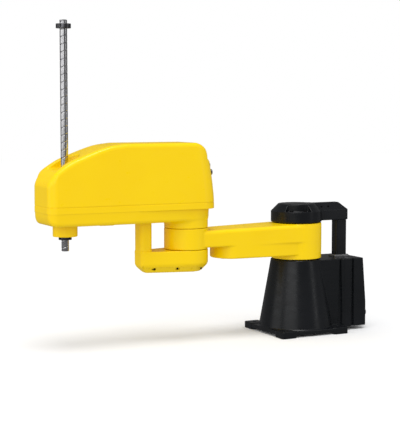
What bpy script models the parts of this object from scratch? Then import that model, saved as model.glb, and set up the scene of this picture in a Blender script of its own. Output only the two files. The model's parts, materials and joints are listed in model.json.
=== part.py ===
"""A four-axis SCARA robot arm, built as separate sub-parts in metres, +Z up.

The origin is on the first joint's axis, in the plane of the foot pads. +X runs along the
straightened arm. Heights are measured from that plane in every frame, so each moving piece
hangs from an empty that stands on its joint's axis at height zero.
"""

import math

import bmesh
import bpy
from mathutils import Matrix, Vector

# Driving dimensions
INNER_REACH = 0.450
OUTER_REACH = 0.450
GAP = 0.0003
RUNNING_GAP = 0.0008

# Base casting
PAD_SIDE = 0.058
PAD_X = 0.109
PAD_Y = 0.114
PAD_TOP = 0.024
PLATE_HALF = 0.137
PLATE_BOTTOM = 0.008
PLATE_TOP = 0.022
BOLT_RADIUS = 0.0065
CONE_TOP = 0.268
CONE_TOP_RADIUS = 0.0923
CONE_SLOPE = 0.1739
CASTING_WALL = 0.012
HOUSING_HALF = 0.082
HOUSING_BOTTOM = 0.013
HOUSING_TOP = 0.266
HOUSING_BREAK = 0.100
HOUSING_REAR_LOW = -0.254
HOUSING_REAR_TOP = -0.2405
HOUSING_WALL = 0.014
CASTING_CEILING = 0.246
BASE_BORE = 0.062

# Rear connections of the base
PANEL_THICKNESS = 0.006
PANEL_FACE = HOUSING_REAR_LOW - GAP - PANEL_THICKNESS
PANEL_HALF = 0.070
PANEL_BOTTOM = 0.015
PANEL_TOP = 0.094
CONNECTOR_Z = 0.055
CONNECTOR_RADIUS = 0.0135
CONNECTOR_Y = {"power_connector": 0.036, "signal_connector": -0.006}
PORT_RADIUS = 0.0045
PORT_Y = (-0.036, -0.054)

# Cable duct over the first joint
CAP_RADIUS = 0.093
CAP_TOP_RADIUS = 0.066
CAP_BOTTOM = 0.404
CAP_SHOULDER = 0.443
CAP_TOP = 0.470
BRIDGE_HALF = 0.026
BRIDGE_REAR = -0.208
BRIDGE_BEVEL = 0.013
BRIDGE_SLOPE = 0.034
POCKET_ANGLE = 65
POCKET_SPREAD = 32
POCKET_RADIUS = 0.071
POCKET_FLOOR = 0.446
CAP_SCREW_RING = 0.081
CAP_SCREW_SPREAD = 18
COLUMN_FRONT = -0.163
COLUMN_REAR = -0.2095
COLUMN_HALF = 0.018
COLUMN_X = (COLUMN_FRONT + COLUMN_REAR) / 2
COLUMN_WALL = 0.005
FOOT_TOP = 0.2743

# Inner arm
J1_BOSS_RADIUS = 0.092
J1_BOSS_BOTTOM = 0.272
J2_BOSS_RADIUS = 0.077
J2_BOSS_BOTTOM = 0.3274
ARM_TOP = 0.401
WEB_BOTTOM = 0.289
NOSE_X = 0.268
NOSE_RADIUS = 0.0785
CHANNEL_LOW = 0.336
CHANNEL_HIGH = 0.366
REDUCER_FLOOR = 0.372
BUMPER_X = 0.302
HARNESS_RADIUS = 0.009

# Outer arm
UNDERSIDE = 0.428
BOSS_BOTTOM = 0.402
SEAM_LOW = 0.4905
SEAM_HIGH = 0.4935
LIP_BOTTOM = 0.470
COVER_TOP = 0.699
FRONT = 0.523
FRONT_HALF = 0.085
TAIL_RADIUS = 0.078
CORNER = 0.025
FLOOR_TOP = 0.4403
WALL = 0.008
SKIN = 0.004
SCOOP_HALF = 0.050
SCOOP_FLOOR = 0.610
REAR_PANEL_X = -0.0695
REAR_PANEL_Z = 0.570
REAR_PANEL_HALF_HEIGHT = 0.0575
REAR_PANEL_HALF_WIDTH = 0.052
USER_CONNECTOR = (0.024, REAR_PANEL_Z + 0.024, 0.0105)
BUTTON = (-0.024, REAR_PANEL_Z + 0.028, 0.0070)
AIR_PORT_Z = REAR_PANEL_Z - 0.028
AIR_PORT_Y = (-0.028, 0.0, 0.028)
AIR_PORT_RADIUS = 0.0040

# Lower cable duct
DUCT_BOTTOM = 0.250
DUCT_TOP = 0.326
DUCT_CHAMFER = 0.026
DUCT_COLUMN_REAR = 0.142
DUCT_COLUMN_FRONT = 0.186
DUCT_COLUMN_HALF = 0.032
DUCT_COLUMN_X = (DUCT_COLUMN_REAR + DUCT_COLUMN_FRONT) / 2
DUCT_LEAN = 14
DUCT_WALL = 0.005
LID_THICKNESS = 0.003
DUCT_SCREW_SHARES = (0.80, 0.47, 0.13)
DUCT_SCREW_RADIUS = 0.0040
SCREW_STANDOFF = 0.0020
CAP_SCREW_RADIUS = 0.0045

# Vertical axis
SHAFT_RADIUS = 0.0125
SHAFT_BORE = 0.007
SHAFT_LOW = 0.3405
SHAFT_TOP = 1.108
SHAFT_CHAMFER = 0.0015
NUT_BORE = SHAFT_RADIUS + RUNNING_GAP
COLLAR_RADIUS = 0.025
COLLAR_LOW = 1.080
COLLAR_HIGH = 1.095
CLAMP_X = 0.0195
SPLINE_NUT_BOTTOM = 0.3958
SPLINE_NUT_RADIUS = 0.0275
BALL_NUT_TOP = 0.530
BALL_NUT_RADIUS = 0.0240
BEARING_RADIUS = 0.0330

# Drives under the cover
J2_MOTOR_HALF = 0.041
J2_MOTOR_TOP = 0.560
MOTOR_X = 0.285
MOTOR_Y = 0.038
MOTOR_HALF = 0.030
MOTOR_TOP = 0.590
MOTOR_PLATE_BOTTOM = 0.4935
MOTOR_PLATE_TOP = 0.4985
SPINDLE_PLATE_BOTTOM = 0.4990
SPINDLE_PLATE_TOP = 0.5090
J4_PULLEY_Z = 0.4478
J3_PULLEY_Z = 0.4695
PULLEY_HEIGHT = 0.0168
NUT_PULLEY_RADIUS = 0.034
MOTOR_PULLEY_RADIUS = 0.016
BELT = 0.0015


# Outlines

def arc(centre, radius, start, stop, count):
    """Points on an arc, angles in degrees, both ends included."""
    points = []
    for step in range(count + 1):
        angle = math.radians(start + (stop - start) * step / count)
        points.append((centre[0] + radius * math.cos(angle), centre[1] + radius * math.sin(angle)))
    return points


def circle(radius, count=32, centre=(0.0, 0.0)):
    return arc(centre, radius, 0, 360, count)[:-1]


def filleted(corners, steps=4):
    """A polygon, anticlockwise, from (x, y, radius) corners."""
    points = []
    for index, (x, y, radius) in enumerate(corners):
        here = Vector((x, y))
        if not radius:
            points.append((x, y))
            continue
        back = (Vector(corners[index - 1][:2]) - here).normalized()
        ahead = (Vector(corners[(index + 1) % len(corners)][:2]) - here).normalized()
        half = back.angle(ahead) / 2
        turn = math.pi - 2 * half
        if back.cross(ahead) > 0:
            turn = -turn
        centre = here + (back + ahead).normalized() * (radius / math.sin(half))
        arm = here + back * (radius / math.tan(half)) - centre
        for step in range(steps + 1):
            spun = arm.copy()
            spun.rotate(Matrix.Rotation(turn * step / steps, 2))
            points.append(tuple(centre + spun))
    return points


def rectangle(x0, x1, half, radius=0.0, middle=0.0, steps=3):
    low, high = middle - half, middle + half
    corners = [(x1, low, radius), (x1, high, radius), (x0, high, radius), (x0, low, radius)]
    return filleted(corners, steps)


def around_two(first, first_radius, second, second_radius, count=12):
    """The outline of a belt or a web round two circles, with count steps round each."""
    offset = Vector(second) - Vector(first)
    heading = math.degrees(math.atan2(offset.y, offset.x))
    lean = math.degrees(math.acos((first_radius - second_radius) / offset.length))
    near = arc(first, first_radius, heading + lean, heading + 360 - lean, count)
    far = arc(second, second_radius, heading - lean, heading + lean, count)
    return near + far


# Solids

def loft(rings):
    """A closed solid through rings of 3-D points, each anticlockwise and with as many points."""
    bm = bmesh.new()
    made = [[bm.verts.new(point) for point in ring] for ring in rings]
    count = len(made[0])
    for low, high in zip(made, made[1:]):
        for index in range(count):
            after = (index + 1) % count
            bm.faces.new((low[index], low[after], high[after], high[index]))
    bm.faces.new(list(reversed(made[0])))
    bm.faces.new(made[-1])
    return bm


def flat(outline, height):
    return [(x, y, height) for x, y in outline]


def prism(outline, low, high):
    return loft([flat(outline, low), flat(outline, high)])


def band(outer, inner, low, high):
    """A prism with a hole: the two outlines have as many points."""
    bm = bmesh.new()
    rings = [[bm.verts.new(point) for point in flat(outline, height)]
             for outline, height in ((outer, low), (outer, high), (inner, high), (inner, low))]
    count = len(outer)
    for here, there in zip(rings, rings[1:] + rings[:1]):
        for index in range(count):
            after = (index + 1) % count
            bm.faces.new((here[index], here[after], there[after], there[index]))
    return bm


def turned(profile, count=32, centre=(0.0, 0.0)):
    """A turned solid from a closed profile of (radius, height) points; radius 0 is on the axis."""
    bm = bmesh.new()
    rings = []
    for radius, height in profile:
        if radius:
            rings.append([bm.verts.new((x, y, height)) for x, y in circle(radius, count, centre)])
        else:
            rings.append([bm.verts.new((*centre, height))])
    for here, there in zip(rings, rings[1:] + rings[:1]):
        if len(here) == len(there) == 1:
            continue
        for index in range(count):
            after = (index + 1) % count
            corners = [here[index % len(here)], here[after % len(here)],
                       there[after % len(there)], there[index % len(there)]]
            bm.faces.new(dict.fromkeys(corners))
    return bm


def disc(radius, low, high, count=32, centre=(0.0, 0.0)):
    return turned([(0, low), (radius, low), (radius, high), (0, high)], count, centre)


def ring(outer, inner, low, high, count=28, centre=(0.0, 0.0)):
    return turned([(outer, low), (outer, high), (inner, high), (inner, low)], count, centre)


def aimed(bm, place, direction):
    """Turns a solid made about +Z so that it stands at place and points along direction."""
    turn = Vector((0, 0, 1)).rotation_difference(Vector(direction)).to_matrix().to_4x4()
    bmesh.ops.transform(bm, matrix=Matrix.Translation(place) @ turn, verts=bm.verts)
    return bm


# Objects

def material(name, colour, roughness, metallic=0.0):
    made = bpy.data.materials.new(name)
    made.use_nodes = True
    shader = made.node_tree.nodes["Principled BSDF"]
    shader.inputs["Base Color"].default_value = (*colour, 1.0)
    shader.inputs["Roughness"].default_value = roughness
    shader.inputs["Metallic"].default_value = metallic
    return made


def frame(name, x):
    empty = bpy.data.objects.new(name, None)
    empty.location = (x, 0, 0)
    bpy.context.scene.collection.objects.link(empty)
    return empty


def mesh_object(name, bm, parent):
    bmesh.ops.recalc_face_normals(bm, faces=bm.faces)
    mesh = bpy.data.meshes.new(name)
    bm.to_mesh(mesh)
    bm.free()
    mesh.shade_smooth()
    mesh.set_sharp_from_angle(angle=math.radians(35))
    obj = bpy.data.objects.new(name, mesh)
    obj.parent = parent
    bpy.context.scene.collection.objects.link(obj)
    return obj


def piece(name, bm, parent, surface):
    obj = mesh_object(name, bm, parent)
    obj.data.materials.append(surface)
    return obj


# The exact solver leaves open edges where these castings' walls meet almost flush.
SOLVERS = {"inner_arm_casting": "MANIFOLD", "outer_arm_cover": "MANIFOLD"}


def combine(target, operation, *solids):
    for bm in solids:
        tool = mesh_object(f"tool_{target.name}_{len(target.modifiers)}", bm, target.parent)
        tool.hide_render = True
        tool.display_type = "WIRE"
        step = target.modifiers.new(operation.title(), "BOOLEAN")
        step.operation = operation
        step.solver = SOLVERS.get(target.name, "EXACT")
        step.object = tool
    return target


def cut(target, *solids):
    return combine(target, "DIFFERENCE", *solids)


def fuse(target, *solids):
    return combine(target, "UNION", *solids)


def harness(name, corners, bend, radius, parent, surface):
    """A cable bundle along straight runs with rounded corners."""
    route = [Vector(corners[0])]
    for before, here, after in zip(corners, corners[1:], corners[2:]):
        middle = Vector(here)
        start = middle + (Vector(before) - middle).normalized() * bend
        stop = middle + (Vector(after) - middle).normalized() * bend
        for step in range(5):
            share = step / 4
            route.append(start.lerp(middle, share).lerp(middle.lerp(stop, share), share))
    route.append(Vector(corners[-1]))
    curve = bpy.data.curves.new(name, "CURVE")
    curve.dimensions = "3D"
    curve.bevel_depth = radius
    curve.bevel_resolution = 2
    curve.use_fill_caps = True
    curve.materials.append(surface)
    spline = curve.splines.new("POLY")
    spline.points.add(len(route) - 1)
    for point, place in zip(spline.points, route):
        point.co = (*place, 1.0)
    obj = bpy.data.objects.new(name, curve)
    obj.parent = parent
    bpy.context.scene.collection.objects.link(obj)
    return obj


def socket_screw(name, place, direction, parent, surface, radius=CAP_SCREW_RADIUS):
    """A cap screw's head, standing on place, with a hexagonal socket."""
    head = disc(radius, 0, radius, 10)
    socket = disc(radius * 0.55, radius * 0.5, radius * 1.5, 6)
    screw = piece(name, aimed(head, place, direction), parent, surface)
    return cut(screw, aimed(socket, place, direction))


# Base

def cone_radius(height):
    return CONE_TOP_RADIUS + (CONE_TOP - height) * CONE_SLOPE


def housing_outline(rear):
    """The rear housing in plan: flat sides with a rounded rib between two grooves."""
    side = [(-0.020, 0), (-0.136, 0), (-0.142, -0.008), (-0.148, -0.003), (-0.169, 0.002),
            (-0.190, -0.003), (-0.197, -0.008), (-0.203, 0),
            (rear + 0.008, 0), (rear, -0.008)]
    near = [(x, HOUSING_HALF + y) for x, y in side]
    return near + [(x, -y) for x, y in reversed(near)]


def base_casting(parent, surface):
    cone = [(0, PLATE_BOTTOM), (cone_radius(PLATE_BOTTOM), PLATE_BOTTOM),
            (CONE_TOP_RADIUS, CONE_TOP), (0, CONE_TOP)]
    casting = piece("base_casting", turned(cone, 48), parent, surface)
    plate = rectangle(-PLATE_HALF, PLATE_HALF, PLATE_HALF, 0.012)
    fuse(casting, prism(plate, PLATE_BOTTOM + GAP, PLATE_TOP))
    for x in (-PAD_X, PAD_X):
        for y in (-PAD_Y, PAD_Y):
            pad = rectangle(x - PAD_SIDE / 2, x + PAD_SIDE / 2, PAD_SIDE / 2, 0.008, y)
            fuse(casting, prism(pad, 0, PAD_TOP))
    rear = HOUSING_REAR_LOW
    fuse(casting, loft([flat(housing_outline(rear), HOUSING_BOTTOM),
                        flat(housing_outline(rear), HOUSING_BREAK),
                        flat(housing_outline(HOUSING_REAR_TOP), HOUSING_TOP)]))
    cut(casting,
        turned([(0, -0.01), (cone_radius(0) - CASTING_WALL, -0.01),
                (cone_radius(CASTING_CEILING) - CASTING_WALL, CASTING_CEILING), (0, CASTING_CEILING)], 32),
        prism(rectangle(rear + 0.024, -0.04, HOUSING_HALF - HOUSING_WALL), -0.01, HOUSING_TOP - 0.010),
        disc(BASE_BORE, CASTING_CEILING - 0.006, CONE_TOP + 0.010),
        prism(column_bore(), HOUSING_TOP - 0.016, HOUSING_TOP + 0.010),
        prism(rectangle(rear - 0.006, rear + 0.029, PANEL_HALF - HOUSING_WALL), 0.030, 0.080))
    for x in (-PAD_X, PAD_X):
        for y in (-PAD_Y, PAD_Y):
            cut(casting, disc(BOLT_RADIUS, -0.01, 0.03, 10, (x, y)))
    return casting


def column_bore():
    """The cable way through the rear column, in plan."""
    return rectangle(COLUMN_REAR + COLUMN_WALL, COLUMN_FRONT - COLUMN_WALL, COLUMN_HALF - COLUMN_WALL, 0.003)


def receptacle(name, radius, place, direction, parent, surface):
    """A round connector: a square flange with a hollow barrel."""
    barrel = turned([(0, -0.012), (radius, -0.012), (radius, 0.018), (radius * 0.8, 0.018),
                     (radius * 0.8, 0.006), (0, 0.006)], 14)
    flange = prism(rectangle(-radius * 1.25, radius * 1.25, radius * 1.25, 0.003), GAP, 0.003)
    connector = piece(name, aimed(barrel, place, direction), parent, surface)
    return fuse(connector, aimed(flange, place, direction))


def port_fitting(name, radius, place, direction, parent, surface):
    """A push-in air fitting."""
    body = turned([(0, -0.006), (radius, -0.006), (radius, 0.004), (radius * 1.4, 0.004),
                   (radius * 1.4, 0.012), (radius, 0.014), (radius, 0.018), (radius * 0.6, 0.018),
                   (radius * 0.6, 0.008), (0, 0.008)], 10)
    return piece(name, aimed(body, place, direction), parent, surface)


def rear_connections(parent, looks):
    rear = (-1, 0, 0)
    outline = rectangle(PANEL_FACE, PANEL_FACE + PANEL_THICKNESS, PANEL_HALF)
    slab = prism(outline, PANEL_BOTTOM, PANEL_TOP)
    panel = piece("rear_connector_panel", slab, parent, looks["black_plastic"])
    for name, y in CONNECTOR_Y.items():
        place = (PANEL_FACE, y, CONNECTOR_Z)
        cut(panel, aimed(disc(CONNECTOR_RADIUS + GAP, -0.02, 0.02, 14), place, rear))
        receptacle(name, CONNECTOR_RADIUS, place, rear, parent, looks["connector"])
    for number, y in enumerate(PORT_Y, 1):
        place = (PANEL_FACE, y, CONNECTOR_Z)
        cut(panel, aimed(disc(PORT_RADIUS + GAP, -0.02, 0.02, 10), place, rear))
        port_fitting(f"base_air_port_{number}", PORT_RADIUS, place, rear, parent, looks["brass"])


def base_drive(parent, looks):
    piece("j1_motor", prism(rectangle(-0.040, 0.040, 0.040, 0.008), 0.105, 0.2135), parent, looks["motor"])
    piece("j1_reducer", ring(0.068, 0.020, 0.214, CASTING_CEILING - GAP), parent, looks["steel"])


def cap_duct(parent, looks):
    """The cable duct from the base's rear, up a column and over the first joint."""
    dome = [(0, CAP_BOTTOM), (CAP_RADIUS, CAP_BOTTOM), (CAP_RADIUS, CAP_SHOULDER),
            (CAP_TOP_RADIUS, CAP_TOP), (0, CAP_TOP)]
    cap = piece("duct_top_cap", turned(dome, 48), parent, looks["black_paint"])
    low = rectangle(BRIDGE_REAR, 0, BRIDGE_HALF, 0.006)
    high = rectangle(BRIDGE_REAR + BRIDGE_SLOPE, 0, BRIDGE_HALF - BRIDGE_BEVEL, 0.004)
    fuse(cap, loft([flat(low, CAP_BOTTOM + GAP), flat(low, CAP_SHOULDER), flat(high, CAP_TOP - GAP)]))
    for middle in (-POCKET_ANGLE, POCKET_ANGLE):
        outer = arc((0, 0), CAP_RADIUS + 0.017, middle - POCKET_SPREAD, middle + POCKET_SPREAD, 6)
        inner = arc((0, 0), POCKET_RADIUS, middle + POCKET_SPREAD, middle - POCKET_SPREAD, 6)
        cut(cap, prism(outer + inner, POCKET_FLOOR, CAP_TOP + 0.010))
    cut(cap,
        disc(0.060, CAP_BOTTOM - 0.01, 0.436),
        disc(0.052, 0.43, 0.458),
        prism(rectangle(COLUMN_REAR + 0.008, -0.02, BRIDGE_HALF - 0.008), 0.412, 0.448),
        prism(column_bore(), CAP_BOTTOM - 0.004, 0.42))
    outline = rectangle(COLUMN_REAR, COLUMN_FRONT, COLUMN_HALF, 0.007)
    column = piece("duct_column", prism(outline, FOOT_TOP + GAP, CAP_BOTTOM), parent, looks["black_paint"])
    cut(column, prism(column_bore(), FOOT_TOP - 0.01, CAP_BOTTOM + 0.01))
    outline = rectangle(COLUMN_REAR - 0.006, COLUMN_FRONT + 0.010, COLUMN_HALF + 0.006, 0.004)
    foot = piece("duct_column_foot", prism(outline, HOUSING_TOP + GAP, FOOT_TOP), parent, looks["steel"])
    cut(foot, prism(column_bore(), HOUSING_TOP - 0.01, FOOT_TOP + 0.01))
    offsets = (-CAP_SCREW_SPREAD, CAP_SCREW_SPREAD)
    angles = [middle + offset for middle in (-POCKET_ANGLE, POCKET_ANGLE) for offset in offsets]
    for number, angle in enumerate(angles, 1):
        place = Matrix.Rotation(math.radians(angle), 3, "Z") @ Vector((CAP_SCREW_RING, 0, POCKET_FLOOR + GAP))
        socket_screw(f"cap_screw_{number}", place, (0, 0, 1), parent, looks["dark_steel"])
    route = [(COLUMN_X, 0, 0.150), (COLUMN_X, 0, 0.430), (0, 0, 0.430), (0, 0, ARM_TOP + 0.001)]
    harness("base_harness", route, 0.022, HARNESS_RADIUS, parent, looks["cable"])


# Inner arm

def inner_arm_casting(parent, surface):
    web = [(-0.010, -0.0911), (INNER_REACH, -0.0760), (INNER_REACH, 0.0760), (-0.010, 0.0911)]
    casting = piece("inner_arm_casting", prism(web, J2_BOSS_BOTTOM + GAP, ARM_TOP - GAP), parent, surface)
    nose = arc((NOSE_X, 0), NOSE_RADIUS, -88, 88, 20)
    deep = [(0.004, 0.0900), (0.004, -0.0900)] + nose
    low = [(0.004, 0.0860), (0.004, -0.0860)] + arc((NOSE_X, 0), NOSE_RADIUS - 0.006, -88, 88, 20)
    fuse(casting,
         loft([flat(low, WEB_BOTTOM), flat(deep, WEB_BOTTOM + 0.006), flat(deep, 0.345)]),
         disc(J1_BOSS_RADIUS, J1_BOSS_BOTTOM, ARM_TOP, 48),
         disc(J2_BOSS_RADIUS, J2_BOSS_BOTTOM, ARM_TOP, 48, (INNER_REACH, 0)))
    cut(casting,
        prism(rectangle(-0.035, INNER_REACH + 0.035, 0.045), CHANNEL_LOW, CHANNEL_HIGH),
        disc(0.030, CHANNEL_HIGH - 0.004, 0.42, 24),
        disc(0.062, REDUCER_FLOOR, 0.42, 32, (INNER_REACH, 0)),
        disc(0.018, 0.32, CHANNEL_LOW + 0.004, 16, (INNER_REACH, 0)))
    return casting


def inner_arm_fittings(parent, looks):
    piece("j1_output_flange", disc(0.060, 0.246 + RUNNING_GAP, J1_BOSS_BOTTOM - GAP), parent, looks["steel"])
    piece("j2_reducer", ring(0.0615, 0.034, REDUCER_FLOOR + GAP, ARM_TOP - GAP, 28, (INNER_REACH, 0)),
          parent, looks["steel"])
    bumper = turned([(0, WEB_BOTTOM - 0.0065), (0.006, WEB_BOTTOM - 0.0065), (0.009, WEB_BOTTOM - 0.004),
                     (0.009, WEB_BOTTOM - GAP), (0, WEB_BOTTOM - GAP)], 12, (BUMPER_X, 0))
    piece("inner_arm_bumper", bumper, parent, looks["rubber"])
    middle = (CHANNEL_LOW + CHANNEL_HIGH) / 2
    route = [(0, 0, ARM_TOP), (0, 0, middle), (INNER_REACH, 0, middle), (INNER_REACH, 0, DUCT_TOP + 0.001)]
    harness("inner_arm_harness", route, 0.014, HARNESS_RADIUS, parent, looks["cable"])


# Outer arm

def arm_outline(inset, front_inset=0.0):
    """The outer arm in plan, about the elbow: a round tail and a square front with soft corners."""
    front = FRONT - front_inset
    half = FRONT_HALF - inset
    tail = TAIL_RADIUS - inset
    corners = [(0, -tail, 0), (front, -half, CORNER), (front, half, CORNER), (0, tail, 0)]
    return filleted(corners) + arc((0, 0), tail, 90, 270, 14)[1:-1]


def outer_arm_casting(parent, surface):
    # The rounding under the edges: height, inset at the sides, inset at the front.
    levels = ((UNDERSIDE, 0.012, 0.030), (0.432, 0.005, 0.018), (0.441, 0.001, 0.006),
              (0.455, 0, 0), (SEAM_LOW, 0, 0))
    rings = [flat(arm_outline(inset, front), height) for height, inset, front in levels]
    casting = piece("outer_arm_casting", loft(rings), parent, surface)
    fuse(casting, disc(J2_BOSS_RADIUS, BOSS_BOTTOM, UNDERSIDE + 0.006, 48))
    cut(casting,
        prism(arm_outline(WALL, WALL), FLOOR_TOP - GAP, 0.52),
        disc(0.032, 0.39, 0.45, 24),
        disc(0.0285, 0.42, 0.45, 24, (OUTER_REACH, 0)),
        disc(0.014, 0.42, 0.45, 16, (DUCT_COLUMN_X, 0)))
    return casting


# The cover's side view: height, front, tail behind the elbow, half width.
COVER_LEVELS = (
    (0.520, 0.5230, 0.0875, 0.0875), (0.560, 0.5225, 0.0830, 0.0870), (0.585, 0.5140, 0.0795, 0.0865),
    (0.604, 0.5030, 0.0765, 0.0860), (0.623, 0.4790, 0.0735, 0.0860), (0.644, 0.4450, 0.0700, 0.0855),
    (0.645, 0.4430, 0.0580, 0.0855), (0.659, 0.4060, 0.0560, 0.0855), (0.678, 0.3590, 0.0440, 0.0850),
    (0.692, 0.3130, 0.0180, 0.0820), (COVER_TOP, 0.2600, -0.0050, 0.0750),
)


def cover_outline(front, tail, half):
    round_tail = min(0.066, 0.9 * (half - 0.01))
    corners = [(-tail, -half, round_tail), (front, -half, CORNER),
               (front, half, CORNER), (-tail, half, round_tail)]
    return filleted(corners, 4)


def cover_solid(inset, bottom_front, bottom_rear, drop):
    """The cover's outer skin, or with an inset and a drop the space inside it."""
    start = cover_outline(FRONT - inset, 0.091 - inset, 0.088 - inset)
    rise = bottom_front - bottom_rear
    lip = [(x, y, bottom_rear + rise * min(1, max(0, (x + 0.02) / 0.22))) for x, y in start]
    rings = [lip, [(x, y, z + 0.004) for x, y, z in lip]]
    for height, front, tail, half in COVER_LEVELS:
        rings.append(flat(cover_outline(front - inset, tail - inset, half - inset), height - drop))
    return loft(rings)


def scoop_outline(grown):
    """The hollow round the shaft in plan: round behind the shaft, open to the front."""
    half = SCOOP_HALF + grown
    ahead = FRONT + 0.02
    return arc((OUTER_REACH, 0), half, 90, 270, 16) + [(ahead, -half), (ahead, half)]


def outer_arm_cover(parent, surface):
    """The moulded cover, hollow, with a scoop round the shaft and an opening for the rear panel."""
    cover = piece("outer_arm_cover", cover_solid(0, SEAM_HIGH, LIP_BOTTOM, 0), parent, surface)
    inside = cover_solid(SKIN, SEAM_HIGH - 0.008, LIP_BOTTOM - 0.008, 0.005)
    hollow = mesh_object("tool_cover_hollow", inside, parent)
    hollow.hide_render = True
    hollow.display_type = "WIRE"
    shaft = (OUTER_REACH, 0)
    cut(hollow, prism(scoop_outline(SKIN), SCOOP_FLOOR - 0.006, COVER_TOP + 0.02))
    step = cover.modifiers.new("Hollow", "BOOLEAN")
    step.operation = "DIFFERENCE"
    step.solver = "MANIFOLD"
    step.object = hollow
    opening = rectangle(-REAR_PANEL_HALF_HEIGHT, REAR_PANEL_HALF_HEIGHT, REAR_PANEL_HALF_WIDTH, 0.006)
    cut(cover,
        prism(scoop_outline(0), SCOOP_FLOOR, COVER_TOP + 0.02),
        disc(SHAFT_RADIUS + 0.002, SCOOP_FLOOR - 0.05, SCOOP_FLOOR + 0.05, 24, shaft),
        aimed(prism(opening, -0.03, 0.03), (REAR_PANEL_X - 0.0255, 0, REAR_PANEL_Z), (-1, 0, 0)))
    return cover


def rear_panel(parent, looks):
    rear = (-1, 0, 0)
    outline = rectangle(-REAR_PANEL_HALF_HEIGHT + 0.0005, REAR_PANEL_HALF_HEIGHT - 0.0005,
                        REAR_PANEL_HALF_WIDTH - 0.0005, 0.006)
    slab = aimed(prism(outline, -0.003, 0), (REAR_PANEL_X, 0, REAR_PANEL_Z), rear)
    panel = piece("arm_rear_panel", slab, parent, looks["black_plastic"])
    for y, z, radius in [USER_CONNECTOR, BUTTON] + [(y, AIR_PORT_Z, AIR_PORT_RADIUS) for y in AIR_PORT_Y]:
        cut(panel, aimed(disc(radius + 2 * GAP, -0.02, 0.02, 16), (REAR_PANEL_X, y, z), rear))
    y, z, radius = USER_CONNECTOR
    receptacle("user_signal_connector", radius, (REAR_PANEL_X, y, z), rear, parent, looks["connector"])
    for number, y in enumerate(AIR_PORT_Y, 1):
        place = (REAR_PANEL_X, y, AIR_PORT_Z)
        port_fitting(f"arm_air_port_{number}", AIR_PORT_RADIUS, place, rear, parent, looks["brass"])
    y, z, radius = BUTTON
    button = turned([(0, -0.008), (radius, -0.008), (radius, 0.004), (radius - 0.001, 0.005), (0, 0.005)], 12)
    piece("brake_release_button", aimed(button, (REAR_PANEL_X, y, z), rear), parent, looks["button"])


# Lower cable duct

def lower_duct(parent, looks):
    plan = duct_plan(0)
    lid_inset = DUCT_CHAMFER + DUCT_WALL
    box = loft([flat(duct_plan(DUCT_CHAMFER), DUCT_BOTTOM),
                flat(plan, DUCT_BOTTOM + DUCT_CHAMFER), flat(plan, DUCT_TOP)])
    duct = piece("lower_duct", box, parent, looks["yellow_paint"])
    column = rectangle(DUCT_COLUMN_REAR, DUCT_COLUMN_FRONT - GAP, DUCT_COLUMN_HALF - GAP, 0.015)
    fuse(duct, prism(column, DUCT_TOP - 0.02, UNDERSIDE - GAP))
    bore = rectangle(DUCT_COLUMN_REAR + DUCT_WALL, DUCT_COLUMN_FRONT - DUCT_WALL,
                     DUCT_COLUMN_HALF - DUCT_WALL, 0.008)
    cut(duct,
        loft([flat(duct_plan(lid_inset), DUCT_BOTTOM - 0.005),
              flat(duct_plan(lid_inset), DUCT_BOTTOM + LID_THICKNESS),
              flat(duct_plan(DUCT_WALL + 0.002), DUCT_BOTTOM + DUCT_CHAMFER),
              flat(duct_plan(DUCT_WALL), DUCT_TOP - DUCT_WALL)]),
        prism(bore, DUCT_TOP - 0.03, UNDERSIDE + 0.01),
        disc(0.016, DUCT_TOP - 0.02, DUCT_TOP + 0.01, 24))
    lid = prism(duct_plan(lid_inset + 0.0005), DUCT_BOTTOM + 0.0005, DUCT_BOTTOM + LID_THICKNESS)
    piece("lower_duct_lid", lid, parent, looks["yellow_paint"])
    spots = [(share, side) for side in (1, -1) for share in DUCT_SCREW_SHARES]
    for number, (share, side) in enumerate(spots, 1):
        place, normal = chamfer_point(share, side)
        socket_screw(f"duct_screw_{number}", place, normal, parent, looks["dark_steel"], DUCT_SCREW_RADIUS)
    route = [(0, 0, DUCT_TOP), (0, 0, 0.290), (DUCT_COLUMN_X, 0, 0.290), (DUCT_COLUMN_X, 0, 0.480)]
    harness("outer_arm_harness", route, 0.020, HARNESS_RADIUS, parent, looks["cable"])


def duct_plan(inset):
    """The duct's box in plan: round about the elbow, narrowing to the column."""
    radius = J2_BOSS_RADIUS - inset
    half = DUCT_COLUMN_HALF - inset * 0.55
    front = DUCT_COLUMN_FRONT - inset
    tail = arc((0, 0), radius, 90 - DUCT_LEAN, 270 + DUCT_LEAN, 14)
    nose = filleted([tail[-1] + (0,), (front, -half, 0.012), (front, half, 0.012), tail[0] + (0,)])
    return tail + nose[1:-1]


def chamfer_point(share, side):
    """A point half way up the duct's long chamfer, and the chamfer's outward direction."""
    low, high = duct_plan(DUCT_CHAMFER), duct_plan(0)
    # In each outline the near long side runs from the last fillet point to the first tail point.
    tail_low, nose_low = Vector((*low[0], DUCT_BOTTOM)), Vector((*low[-1], DUCT_BOTTOM))
    tail_high, nose_high = (Vector((*high[0], DUCT_BOTTOM + DUCT_CHAMFER)),
                            Vector((*high[-1], DUCT_BOTTOM + DUCT_CHAMFER)))
    place = tail_low.lerp(nose_low, share).lerp(tail_high.lerp(nose_high, share), 0.5)
    normal = (nose_high - tail_high).cross(tail_high - tail_low).normalized()
    if normal.z > 0:
        normal = -normal
    place += normal * SCREW_STANDOFF
    return (place.x, side * place.y, place.z), (normal.x, side * normal.y, normal.z)


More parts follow.
